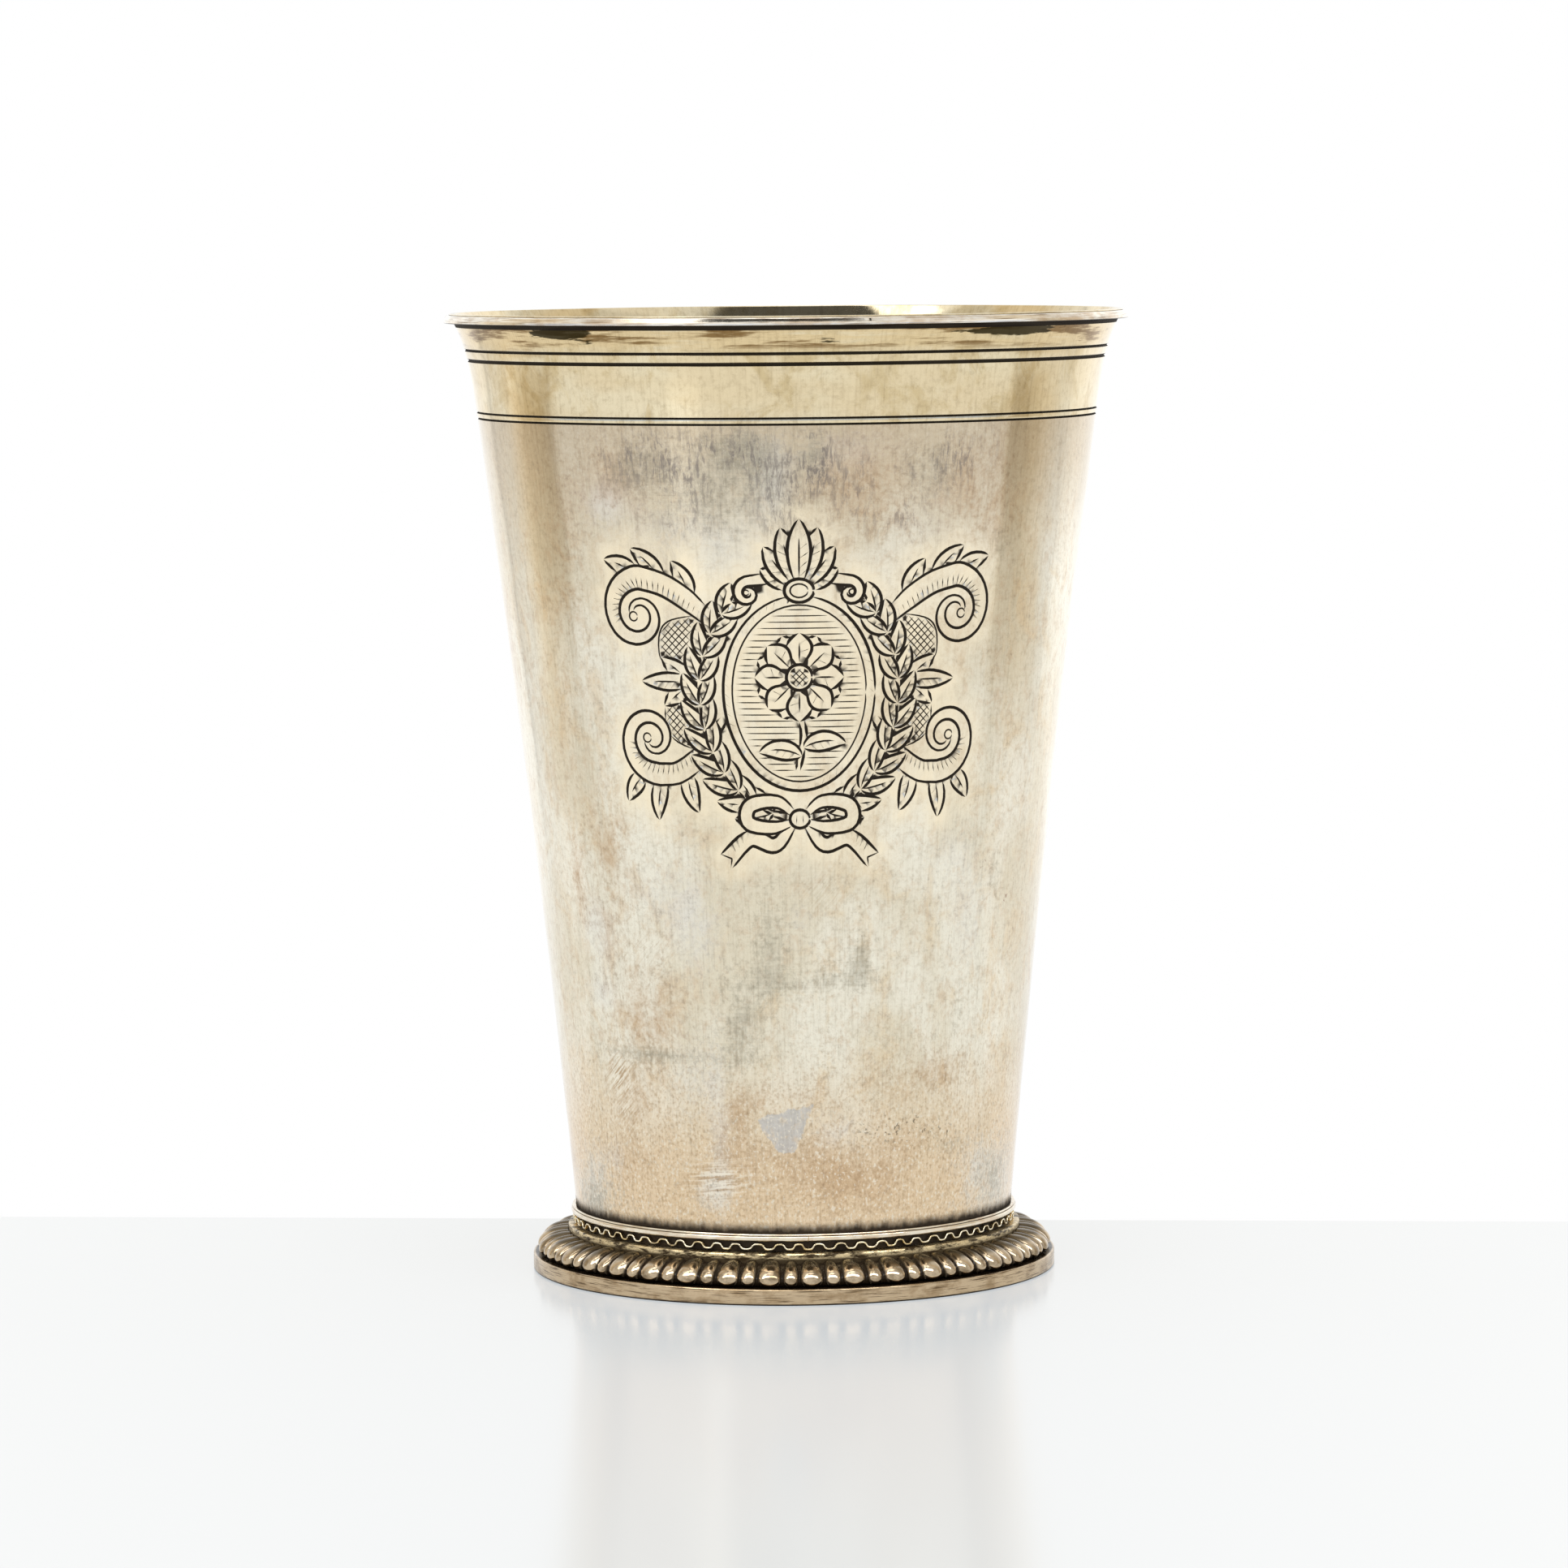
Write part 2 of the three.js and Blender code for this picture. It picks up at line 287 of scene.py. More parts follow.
# %% Arch of a lobe
LOBE_INNER = NECK_RADIUS + 0.1
LOBE_SPREAD = TIP_RADIUS - LOBE_INNER
LOBE_TIP = 0.95  # height of the tip's outermost place above its lower end
LOBE_RISE = LOBE_TOP - LOBE_BOTTOM - LOBE_TIP
LOBE_TUCK = 1.0
LOBE_DEPTH = 1.25  # from crest to gap
LOBE_FADE = 0.5  # share of that depth that is lost towards the neck
LOBE_WAIST = 0.75  # share of its width that a lobe keeps at the neck
WAIST_CURVE = 1.5
LOBE_POINT = 0.34  # and under its tip
POINT_CURVE = 1.7
POINT_START = math.radians(25)  # so far above its outermost place a lobe starts to narrow to its tip
QUARTER = math.pi / 2


def lobe_width(turn):
    """Share of its full width that a lobe has at a turn along its arch."""
    to_neck = np.maximum(turn, 0) / QUARTER
    to_tip = np.maximum(POINT_START - turn, 0) / (POINT_START + QUARTER)
    return 1 - (1 - LOBE_WAIST) * to_neck ** WAIST_CURVE - (1 - LOBE_POINT) * to_tip ** POINT_CURVE


def arch(turn, sunk, reach):
    """Radius and height on a lobe. turn is negative under the tip and a quarter turn at the neck."""
    low = np.minimum(turn, 0)
    high = np.maximum(turn, 0)
    depth = sunk * (1 - LOBE_FADE * (high / QUARTER) ** 2)
    over = LOBE_INNER + (LOBE_SPREAD + reach - sunk) * np.cos(high)
    radius = over - LOBE_TUCK * (1 - np.cos(low))
    height = LOBE_TIP * (1 + np.sin(low)) + (LOBE_RISE - depth) * np.sin(high)
    return radius, LOBE_BOTTOM + height


print(f"a lobe rises {LOBE_TIP + LOBE_RISE:.1f} mm and reaches out {LOBE_SPREAD:.1f} mm")

# %% Make the gadroons
LOBE_SHEET = 0.8
UNDER_STEPS = 8
OVER_STEPS = 22
LOBE_CRISP = math.radians(75)

under_turns = np.linspace(-90, 0, UNDER_STEPS)[:-1]
turns = np.radians(np.concatenate([under_turns, np.linspace(0, 90, OVER_STEPS)]))
inside_lobe = np.minimum(1, lobe_across / lobe_width(turns)[None, :])
swell = (1 - inside_lobe ** lobe_plump) ** (1 / lobe_plump)
lobe_sunk = LOBE_DEPTH - (LOBE_DEPTH - lobe_drop) * swell
lobe_radius, lobe_height = arch(turns[None, :], lobe_sunk, lobe_reach * swell)
back_radius = TIP_RADIUS - LOBE_TUCK - LOBE_DEPTH - LOBE_SHEET
lobe_back = np.array([
    (LOBE_INNER, LOBE_TOP - LOBE_DEPTH * (1 - LOBE_FADE) - LOBE_SHEET),
    (back_radius, LOBE_BOTTOM + LOBE_TIP),
    (back_radius, LOBE_BOTTOM),
])
lobe_steps = len(lobe_angle)
gadroon_radius = np.hstack([lobe_radius, np.tile(lobe_back[:, 0], (lobe_steps, 1))])
gadroon_height = np.hstack([lobe_height, np.tile(lobe_back[:, 1], (lobe_steps, 1))])
gadroons = new_piece(
    "gadroons",
    around(gadroon_radius, lobe_angle, gadroon_height),
    ring_faces(lobe_steps, gadroon_radius.shape[1]),
    "gadroon_ring",
    crisp=LOBE_CRISP,
)
gap_depth = np.hstack([lobe_sunk / LOBE_DEPTH, np.ones((lobe_steps, len(lobe_back)))])
store(gadroons, "gap", gap_depth)

# %% [markdown]
# ## Neck ring
#
# Between the lobes and the cup runs a plain fillet. On the real foot it is rough with solder and old
# gilding. A smooth ring with a bumpy finish would look smooth at its edges, so the roughness is
# real here: every point of the visible edge is pushed in or out by a noise of some hundredths of
# a millimetre.

# %% Make the neck ring
NECK_REACH = 3.8  # from the outer face in under the floor
NECK_EDGE = 0.35
NECK_START = 0.5  # the lowest rough row, above the bottom
NECK_ROWS = 6
SOLDER_LUMP = 0.05
SOLDER_GRAIN = 0.9  # millimetres from lump to lump
FINE_SHARE = 0.6  # height of the finer lumps between them
LUMP_LIMIT = 0.08
NECK_STEPS = 720
NECK_CRISP = math.radians(60)


def lumps(points, grain, seed):
    """A noise of about -1 to 1 at each point, with lumps of the given size in millimetres."""
    shift = Vector((seed, 2 * seed, 3 * seed))
    return np.array([noise.noise(Vector(p) / grain + shift) for p in points.reshape(-1, 3)])


neck_outline = [
    (NECK_RADIUS - NECK_REACH, NECK_BOTTOM),
    (NECK_RADIUS, NECK_BOTTOM),
    *[(NECK_RADIUS, z) for z in np.linspace(NECK_BOTTOM + NECK_START, NECK_TOP - NECK_EDGE, NECK_ROWS)],
    *arc((NECK_RADIUS - NECK_EDGE, NECK_TOP - NECK_EDGE), NECK_EDGE, 15, 90, 5),
    (NECK_RADIUS - NECK_REACH, NECK_TOP),
]
neck_points, neck_faces = spun_ring(neck_outline, seed=2.0, steps=NECK_STEPS)
coarse_lumps = lumps(neck_points, SOLDER_GRAIN, 4.0)
fine_lumps = lumps(neck_points, SOLDER_GRAIN / 3, 5.0)
solder = (SOLDER_LUMP * (coarse_lumps + FINE_SHARE * fine_lumps)).reshape(neck_points.shape[:2])
solder[:, [0, 1, -1]] = 0
outwards = neck_points * (1, 1, 0)
outwards /= np.linalg.norm(outwards, axis=-1, keepdims=True)
neck_points = neck_points + outwards * np.minimum(solder, LUMP_LIMIT)[..., None]
neck_fillet = new_piece("neck_fillet", neck_points, neck_faces, "neck_ring", crisp=NECK_CRISP)

# %% [markdown]
# ## Crimped ribbon
#
# A thin ribbon on edge, crimped between two toothed rollers, fills the recess under the collar. Its
# waves have level crests and troughs and steep flanks. A sine would be too soft, so the sine is
# divided by its own size, which flattens it. The rollers slipped now and then, so the waves differ in
# height and place. On a steep flank the ribbon is cut at a slant, so it is drawn taller there to keep
# its thickness.

# %% Make the crimped ribbon
CRIMP_WAVES = 68
STEPS_PER_WAVE = 22
CRIMP_WIDTH = 0.6
CRIMP_THICKNESS = 0.28
CRIMP_SOFTNESS = 0.55
CRIMP_ROUND = 0.09
CRIMP_CORNERS = 3
LOWEST_WAVE = 0.86  # of the full rise
SLIPS = ((0.35, 5.3), (0.2, 2.7))  # shift of the waves, and how slowly it comes and goes
STEEPEST = 6  # square of the steepest slope that is drawn taller


def crimp_level(phase, rise):
    """Height of the ribbon's middle line at a phase of its wave."""
    soft = np.sin(phase) / np.sqrt(np.sin(phase) ** 2 + CRIMP_SOFTNESS ** 2)
    return rise / 2 * soft * math.sqrt(1 + CRIMP_SOFTNESS ** 2)


roller = random.Random(11)
crimp_steps = CRIMP_WAVES * STEPS_PER_WAVE
phase = np.linspace(0, 2 * math.pi * CRIMP_WAVES, crimp_steps, endpoint=False)
crimp_rise = CRIMP_TOP - CRIMP_BOTTOM - CRIMP_THICKNESS
wave_rises = [crimp_rise * roller.uniform(LOWEST_WAVE, 1.0) for _ in range(CRIMP_WAVES)]
slipped = phase + sum(shift * np.sin(phase / slow) for shift, slow in SLIPS)
crimp_middle = crimp_level(slipped, np.repeat(wave_rises, STEPS_PER_WAVE))
run = 2 * math.pi * CRIMP_RADIUS / crimp_steps
slope = (np.roll(crimp_middle, -1) - np.roll(crimp_middle, 1)) / (2 * run)
taller = np.sqrt(1 + np.minimum(slope ** 2, STEEPEST))
crimp_back = CRIMP_RADIUS - CRIMP_WIDTH
half_thick = CRIMP_THICKNESS / 2
section = np.array([
    (crimp_back, -half_thick),
    *arc((CRIMP_RADIUS - CRIMP_ROUND, CRIMP_ROUND - half_thick), CRIMP_ROUND, -90, 0, CRIMP_CORNERS),
    *arc((CRIMP_RADIUS - CRIMP_ROUND, half_thick - CRIMP_ROUND), CRIMP_ROUND, 0, 90, CRIMP_CORNERS),
    (crimp_back, half_thick),
])
crimp_axis = (CRIMP_TOP + CRIMP_BOTTOM) / 2
crimp_height = crimp_axis + crimp_middle[:, None] + section[None, :, 1] * taller[:, None]
crimp_radius = np.tile(section[:, 0], (crimp_steps, 1))
crimp_angle = (phase / CRIMP_WAVES)[:, None]
crimped_ribbon = new_piece(
    "crimped_ribbon",
    around(crimp_radius, crimp_angle, crimp_height),
    ring_faces(crimp_steps, len(section)),
    "crimped_wire",
)

# %% [markdown]
# ## Collar and lip wire
#
# Two drawn wires finish the cup, one above the foot and one round the lip. The collar has a broad reed
# and a narrow one, and the groove between them is coloured black. The lip wire has a reed and, above it,
# a bevel that was filed to meet the lip; its back and underside are painted black, as dirt and painted
# shade. Each was bent to a hoop, and where its ends meet a hairline shows. That joint is a notch in the
# ring, less than a millimetre wide, so a few extra steps are put at its place.

# %% Bend a wire to a hoop
REED_STEPS = 10
REED_TURN = 84  # degrees to each side of the reed's crest
JOINT_WIDTH = math.radians(0.22)
JOINT_DEPTH = 0.12
JOINT_STEPS = np.array([-1.0, -0.4, 0.0, 0.4, 1.0])


def jointed_ring(outline, joint, seed):
    """A spun ring with a hairline notch where the wire's two ends meet."""
    radius, height = np.asarray(outline, float).T
    notch = joint + JOINT_WIDTH * JOINT_STEPS
    angle = np.sort(np.concatenate([ANGLES, notch]))[:, None]
    nearness = np.clip(1 - np.abs(angle - joint) / JOINT_WIDTH, 0, 1)
    outer = (radius - radius.min()) / (radius.max() - radius.min())
    uneven = radius + HAND_WAVE * hand_wave(angle, height, seed) - JOINT_DEPTH * nearness * outer
    return around(uneven, angle, height), ring_faces(len(angle), len(radius))


def reed(face, middle, half, bulge):
    """Outline of one rounded reed, from below to above."""
    turn = np.radians(np.linspace(-REED_TURN, REED_TURN, REED_STEPS + 1))
    return [(face - bulge * (1 - math.cos(t)), middle + half * math.sin(t)) for t in turn]


def drawn_wire(name, outline, groove, joint, node):
    """A wire of one outline round the axis. groove lists the points of the outline that are painted black.
    """
    points, faces = jointed_ring(outline, joint, outline[0][1])
    wire = new_piece(name, points, faces, node)
    dirt_and_shade = np.zeros(points.shape[:2])
    dirt_and_shade[:, groove] = 1
    store(wire, "dirt_and_shade", dirt_and_shade)
    return wire


print(f"a joint is {2 * math.degrees(JOINT_WIDTH):.2f} degrees wide")

# %% Make the two wires
COLLAR_WIDTH = 0.75
COLLAR_REED = 0.68
COLLAR_BULGE = 0.1
COLLAR_GROOVE = (0.45, 0.05)  # in from the face, and above the reed
COLLAR_BEAD = 0.17
BEAD_SETBACK = 0.2
COLLAR_JOINT = math.radians(3.6)
WIRE_BACK = (1.3, 0.05)  # in from the face, and above the bottom
WIRE_REED = 0.62
WIRE_BULGE = 0.07
BEVEL_RISE = 0.52
BEVEL_DEPTH = 0.305
BEVEL_STEPS = (0.0, 0.06, 0.94, 1.0)
WIRE_SHOULDER = (0.55, 0.03)  # in from the face, and below the top
WIRE_INNER = 0.86
# the lip wire's back and underside are painted black: dirt and painted shade
WIRE_DIRT_AND_SHADE = [0, 1, 2, 3]
LIP_JOINT = math.radians(13.4)

collar_back = COLLAR_RADIUS - COLLAR_WIDTH
collar_outline = [
    (collar_back, COLLAR_BOTTOM),
    *reed(COLLAR_RADIUS, COLLAR_BOTTOM + COLLAR_REED / 2, COLLAR_REED / 2, COLLAR_BULGE),
    (COLLAR_RADIUS - COLLAR_GROOVE[0], COLLAR_BOTTOM + COLLAR_REED + COLLAR_GROOVE[1]),
    *reed(COLLAR_RADIUS - BEAD_SETBACK, COLLAR_TOP - COLLAR_BEAD, COLLAR_BEAD, COLLAR_BEAD),
    (collar_back, COLLAR_TOP),
]
reeded_collar = drawn_wire(
    "reeded_collar", collar_outline, [REED_STEPS + 2], COLLAR_JOINT, "collar_wire"
)

bevel_radius, bevel_level = WIRE_RADIUS - WIRE_BULGE, WIRE_BOTTOM + WIRE_REED
wire_outline = [
    (WIRE_RADIUS - WIRE_BACK[0], WIRE_BOTTOM + WIRE_BACK[1]),
    *reed(WIRE_RADIUS, WIRE_BOTTOM + WIRE_REED / 2, WIRE_REED / 2, WIRE_BULGE)[:-1],
    *[(bevel_radius - BEVEL_DEPTH * t, bevel_level + BEVEL_RISE * t) for t in BEVEL_STEPS],
    (WIRE_RADIUS - WIRE_SHOULDER[0], WIRE_TOP - WIRE_SHOULDER[1]),
    (WIRE_RADIUS - WIRE_INNER, WIRE_TOP),
]
lip_wire = drawn_wire("lip_wire", wire_outline, WIRE_DIRT_AND_SHADE, LIP_JOINT, "rim_wire")

# %% [markdown]
# ## Floor of the cup
#
# The floor is a disc let into the lower end of the wall. It is only seen from above. The silversmith
# set a compass in its middle, and the prick of that compass is still there. The disc is a ring of
# quads with a small dished patch in the middle, because quads that meet in one point shade badly.

# %% Make the cup's floor
PRICK_RADIUS = 0.5
PRICK_DEPTH = 0.25
FLOOR_SAG = 0.15  # the floor dips this much towards its middle
FLOOR_START = 3.0  # radius of the first even row round the prick
FLOOR_ROWS = 24

even_radii = np.linspace(FLOOR_START, FLOOR_RADIUS, FLOOR_ROWS)
floor_radii = np.concatenate([[PRICK_RADIUS, 2 * PRICK_RADIUS], even_radii])
floor_dip = FLOOR_SAG * (1 - (floor_radii / FLOOR_RADIUS) ** 2)
floor_dip[0] += PRICK_DEPTH
floor_outline = [
    (PRICK_RADIUS, FLOOR_BOTTOM),
    (FLOOR_RADIUS, FLOOR_BOTTOM),
    *zip(floor_radii[::-1], (FLOOR_TOP - floor_dip)[::-1]),
]
floor_points, floor_quads = spun_ring(floor_outline, wave=0.0)
floor_rows = len(floor_outline)
floor_faces = [quad for i, quad in enumerate(floor_quads.tolist()) if i % floor_rows != floor_rows - 1]
rim_starts = np.arange(ROUND_STEPS) * floor_rows
floor_faces.append((rim_starts + floor_rows - 1).tolist())
floor_faces.append(rim_starts[::-1].tolist())
cup_bottom = new_piece("cup_bottom", floor_points, floor_faces, "cup_floor")

# %% [markdown]
# ## Shape of the wall
#
# The wall widens upwards in a line that bows in a little, and the lip flares late and fast. Two pairs
# of lines are turned into it. One function gives the radius at every level, so the mesh, the grooves
# and the engraving all lie on the same surface.

# %% Describe the wall's outline
SEAT_RADIUS = 36.25
GILT_RADIUS = 51.45
WALL_BOW = 0.7
LIP_FLARE = 2.3
FLARE_POWER = 3.5
WALL = 0.9
LINE_DEPTH = 0.25
TURNED_LINES = [
    (LIP_TOP - 17.3, 0.33),
    (LIP_TOP - 16.3, 0.3),
    (LIP_TOP - 7.7, 0.6),
    (LIP_TOP - 6.0, 0.48),
]  # level and width
LINE_SIDE = 1.25  # how steeply a turned line reaches its flat bottom
BEAD_SWELL = 0.06  # the strip between two turned lines is slightly round
GILT_LEVEL = TURNED_LINES[0][0]


def wall_radius(height):
    """Outer radius of the wall at a level, without its grooves."""
    rise = (height - WALL_BOTTOM) / (GILT_LEVEL - WALL_BOTTOM)
    side = SEAT_RADIUS + (GILT_RADIUS - SEAT_RADIUS) * rise - 4 * WALL_BOW * rise * (1 - rise)
    flare = np.maximum(0, (height - GILT_LEVEL) / (LIP_TOP - GILT_LEVEL))
    return side + LIP_FLARE * flare ** FLARE_POWER


def line_depth(height):
    """Depth of the turned lines at a level: a V with a narrow flat bottom, and a bead between a pair."""
    depth = np.zeros_like(height)
    for (low, _), (high, _) in zip(TURNED_LINES[::2], TURNED_LINES[1::2]):
        across = (height - (low + high) / 2) / ((high - low) / 2)
        depth -= BEAD_SWELL * np.maximum(0, 1 - across ** 2)
    for level, width in TURNED_LINES:
        across = np.abs(height - level) / (width / 2)
        depth = np.maximum(depth, LINE_DEPTH * np.minimum(LINE_SIDE * (1 - across), 1))
    return depth


print(f"wall radius {wall_radius(WALL_BOTTOM):.2f} mm below and {wall_radius(LIP_TOP):.2f} mm at the lip")

# %% [markdown]
# A raised wall is never quite round: a slow wave of some hundredths of a millimetre makes the reflections
# wander as they do on hammered work.

# %% Describe the wall's surface
RAISED_WAVE = 0.03
RAISED_SEED = 0.4
HAMMER_WAVE = 0.014
HAMMER_BLOWS = 16  # waves of the hammer in one turn
HAMMER_TWIST = 0.21
NORMAL_TURN = 1e-3  # steps over which the slope is measured
NORMAL_RISE = 0.05


def raised(angle, height):
    """Unevenness of the raised wall, in millimetres."""
    hammered = HAMMER_WAVE * np.sin(HAMMER_BLOWS * angle + HAMMER_TWIST * height)
    return RAISED_WAVE * hand_wave(angle, height, RAISED_SEED) + hammered


def wall_point(angle, height, depth=0.0):
    """Points of the outer face, sunk by a depth."""
    return around(wall_radius(height) + raised(angle, height) - depth, angle, height)


def wall_normal(angle, height):
    """Direction that the plain outer face points in."""
    along = wall_point(angle + NORMAL_TURN, height) - wall_point(angle - NORMAL_TURN, height)
    up = wall_point(angle, height + NORMAL_RISE) - wall_point(angle, height - NORMAL_RISE)
    normal = np.cross(along, up)
    return normal / np.linalg.norm(normal, axis=-1, keepdims=True)


print(f"unevenness of the wall: about {RAISED_WAVE + HAMMER_WAVE:.2f} mm")

# %% [markdown]
# ## Drawing with a burin
#
# The front is engraved. A burin ploughs out a V-shaped stroke that starts as a point, swells and ends
# as a point, and shading is made of rows of such strokes. An image or a bump map could show lines, but
# real grooves catch the light from every side, so each stroke becomes geometry.
#
# The design is drawn flat first, in millimetres from its middle. A few kinds of lines are enough for
# it: smooth curves through given points, ovals and spirals.

# %% Lines and curves
STROKE_STEP = 0.25
SPIRAL_CLOSE = 0.84  # share of its radius that a spiral winds in
SPIRAL_CURVE = 0.85


def evenly(points, step=STROKE_STEP):
    """The same line with points a fixed step apart."""
    points = np.asarray(points, float)
    leg = np.linalg.norm(np.diff(points, axis=0), axis=1)
    along = np.concatenate([[0], np.cumsum(leg)])
    at = np.linspace(0, along[-1], max(2, int(round(along[-1] / step)) + 1))
    return np.stack([np.interp(at, along, points[:, i]) for i in (0, 1)], -1)


def flowing(points, steps=12):
    """A smooth curve through a few points."""
    points = np.asarray(points, float)
    ends = np.vstack([2 * points[0] - points[1], points, 2 * points[-1] - points[-2]])
    t = np.linspace(0, 1, steps, endpoint=False)[:, None]
    curve = []
    for a, b, c, d in zip(ends, ends[1:], ends[2:], ends[3:]):
        bend = 2 * a - 5 * b + 4 * c - d
        twist = 3 * b - a - 3 * c + d
        curve.append(b + 0.5 * ((c - a) * t + bend * t ** 2 + twist * t ** 3))
    return np.vstack([*curve, points[-1:]])


def oval(center, across, up, start=0, end=360, steps=64):
    """Points of an oval, or of part of one. Angles are in degrees."""
    turn = np.radians(np.linspace(start, end, steps + 1))
    return np.stack([center[0] + across * np.cos(turn), center[1] + up * np.sin(turn)], -1)


def on_oval(center, across, up, turn):
    """The point of an oval at an angle in degrees."""
    return oval(center, across, up, turn, turn, steps=1)[0]


def volute(center, radius, start, turns, steps=48):
    """A spiral that winds in towards its center. Negative turns run clockwise."""
    t = np.linspace(0, 1, steps + 1)
    turn = np.radians(start + 360 * turns * t)
    reach = radius * (1 - SPIRAL_CLOSE * t ** SPIRAL_CURVE)
    return np.stack([center[0] + reach * np.cos(turn), center[1] + reach * np.sin(turn)], -1)


print(f"strokes are drawn with a point every {STROKE_STEP} mm")

# %% [markdown]
# A stroke is a line of points with a width. What lies in front hides what was drawn before it, just as
# an engraver would plan it, and shade is laid into a closed outline as rows of straight strokes.

# %% Cut, hide and hatch
OUTLINE_WIDTH = 0.58
FINE_WIDTH = 0.34
HATCH_WIDTH = 0.24
HATCH_OVERRUN = 1.5  # hatching lines are drawn longer than the outline and then trimmed
strokes = []


def cut(points, width=OUTLINE_WIDTH):
    """Draw one stroke."""
    strokes.append((evenly(points), width))


def inside(points, outline):
    """Which points lie inside a closed outline."""
    x, y = points[:, :1], points[:, 1:]
    a, b = outline, np.roll(outline, -1, axis=0)
    crosses = (a[:, 1] > y) != (b[:, 1] > y)
    rise = np.where(b[:, 1] == a[:, 1], 1e-9, b[:, 1] - a[:, 1])
    where = a[:, 0] + (y - a[:, 1]) * (b[:, 0] - a[:, 0]) / rise
    return (np.sum(crosses & (x < where), axis=1) % 2).astype(bool)


def runs(points, keep):
    """The stretches of a line whose points are kept."""
    edges = np.flatnonzero(np.diff(np.concatenate([[0], keep.astype(int), [0]])))
    return [points[a:b] for a, b in zip(edges[::2], edges[1::2]) if b - a > 2]


def hide_behind(outline):
    """Take away what was drawn inside a closed outline, because something now stands before it."""
    strokes[:] = [
        (run, width) for points, width in strokes for run in runs(points, ~inside(points, outline))
    ]


def hatch(outline, slant, gap, width=HATCH_WIDTH):
    """Fill a closed outline with straight strokes at a slant in degrees."""
    turn = math.radians(slant)
    along = np.array([math.cos(turn), math.sin(turn)])
    aside = np.array([-along[1], along[0]])
    reach = along * HATCH_OVERRUN * np.ptp(outline @ along) / 2
    middle = along * (outline @ along).mean()
    for level in np.arange((outline @ aside).min() + gap / 2, (outline @ aside).max(), gap):
        center = aside * level + middle
        line = evenly([center - reach, center + reach])
        strokes.extend((run, width) for run in runs(line, inside(line, outline)))


def crosshatch(outline, gap):
    """Fill a closed outline with two sets of strokes that cross."""
    hatch(outline, 45, gap)
    hatch(outline, -45, gap)


print(f"strokes are {HATCH_WIDTH} to {OUTLINE_WIDTH} mm wide")

# %% [markdown]
# ## Leaves, scrolls and ribbons
#
# Engraved ornament repeats a few forms. A leaf has two edges, a rib and one shaded half. A scroll is
# a band that tapers along a curve and curls up round an eye. With these two, and their mirror images,
# a wreath, a crest and a bow can be drawn.

# %% Leaves
LEAF_STEPS = 16
LEAF_ROUNDING = 0.8
RIB_STEPS = 13  # of these steps, the rib takes so many
SHADE_STEPS = (3, 14)  # shading starts and ends at these steps
SHADE_GAP = 1.25
SHADE_REACH = 0.86  # of the way to the leaf's edge
SHADE_LEAN = 2  # steps that a shading stroke leans towards the tip


def leaf(base, heading, length, width, bend=0.0, fullness=0.85, shade=-1):
    """A pointed leaf. heading is in degrees, and bend is how far it turns along its length."""
    t = np.linspace(0, 1, LEAF_STEPS + 1)
    turn = np.radians(heading + bend * t)
    direction = np.stack([np.cos(turn), np.sin(turn)], -1)
    aside = np.stack([-np.sin(turn), np.cos(turn)], -1)
    step = length / LEAF_STEPS
    spine = np.asarray(base) + np.vstack([[0, 0], np.cumsum(direction[:-1] * step, axis=0)])
    half = width / 2 * np.sin(math.pi * t ** fullness)[:, None] ** LEAF_ROUNDING
    left = spine + aside * half
    right = spine - aside * half
    hide_behind(np.vstack([left, right[::-1]]))
    cut(left)
    cut(right)
    cut(spine[:RIB_STEPS], FINE_WIDTH)
    shaded = spine + shade * aside * half
    every = max(1, int(round(SHADE_GAP / step)))
    for i in range(*SHADE_STEPS, every):
        end = shaded[min(LEAF_STEPS, i + SHADE_LEAN)]
        cut([spine[i], spine[i] + SHADE_REACH * (end - spine[i])], HATCH_WIDTH)


print(f"a leaf is drawn with {LEAF_STEPS} steps")

# %% Scrolls and mirror images
SCROLL_STEP = 0.5
SCROLL_START = 2  # steps of a scroll without shade, at its start and at its end
SCROLL_END = 6
SCROLL_SHADED = 1.25  # half width from which a scroll is shaded
SCROLL_REACH = 1.15  # from its edge to just past its middle
SIDES = (1, -1)


def scroll(path, halves, shade=1, eye=0.0):
    """A tapering band along a path. halves are its half widths from start to end."""
    spine = evenly(path, SCROLL_STEP)
    direction = np.gradient(spine, axis=0)
    direction /= np.linalg.norm(direction, axis=1, keepdims=True)
    aside = np.stack([-direction[:, 1], direction[:, 0]], -1)
    t = np.linspace(0, 1, len(spine))
    half = np.interp(t, np.linspace(0, 1, len(halves)), halves)[:, None]
    left = spine + aside * half
    right = spine - aside * half
    hide_behind(np.vstack([left, right[::-1]]))
    cut(left)
    cut(right)
    for i in range(SCROLL_START, len(spine) - SCROLL_END, 2):
        edge = spine[i] + shade * aside[i] * half[i]
        if half[i] > SCROLL_SHADED:
            cut([edge, edge + SCROLL_REACH * (spine[i + 1] - edge)], HATCH_WIDTH)
    if eye:
        pupil = oval(spine[-1], eye, eye, steps=20)
        hide_behind(pupil)
        cut(pupil, FINE_WIDTH)


def mirrored(points, side):
    """Points drawn for the right half, for the side +1 or mirrored for the side -1."""
    return np.asarray(points, float) * (side, 1)


def heading_for(degrees, side):
    """A heading drawn for the right half, mirrored for the left."""
    return degrees if side > 0 else 180 - degrees


print(f"a scroll is drawn in steps of {SCROLL_STEP} mm")

# %% [markdown]
# ## The ornament
#
# The ornament is a medallion with a flower on a hatched field, between two laurel branches that are
# tied with a bow. Scrolls fill the sides and a palmette crowns it. It could be traced from a drawing, but
# written as forms it stays sharp and easy to change. It is drawn from back to front, so first come the
# shaded pockets and the scrolls with their leaves.

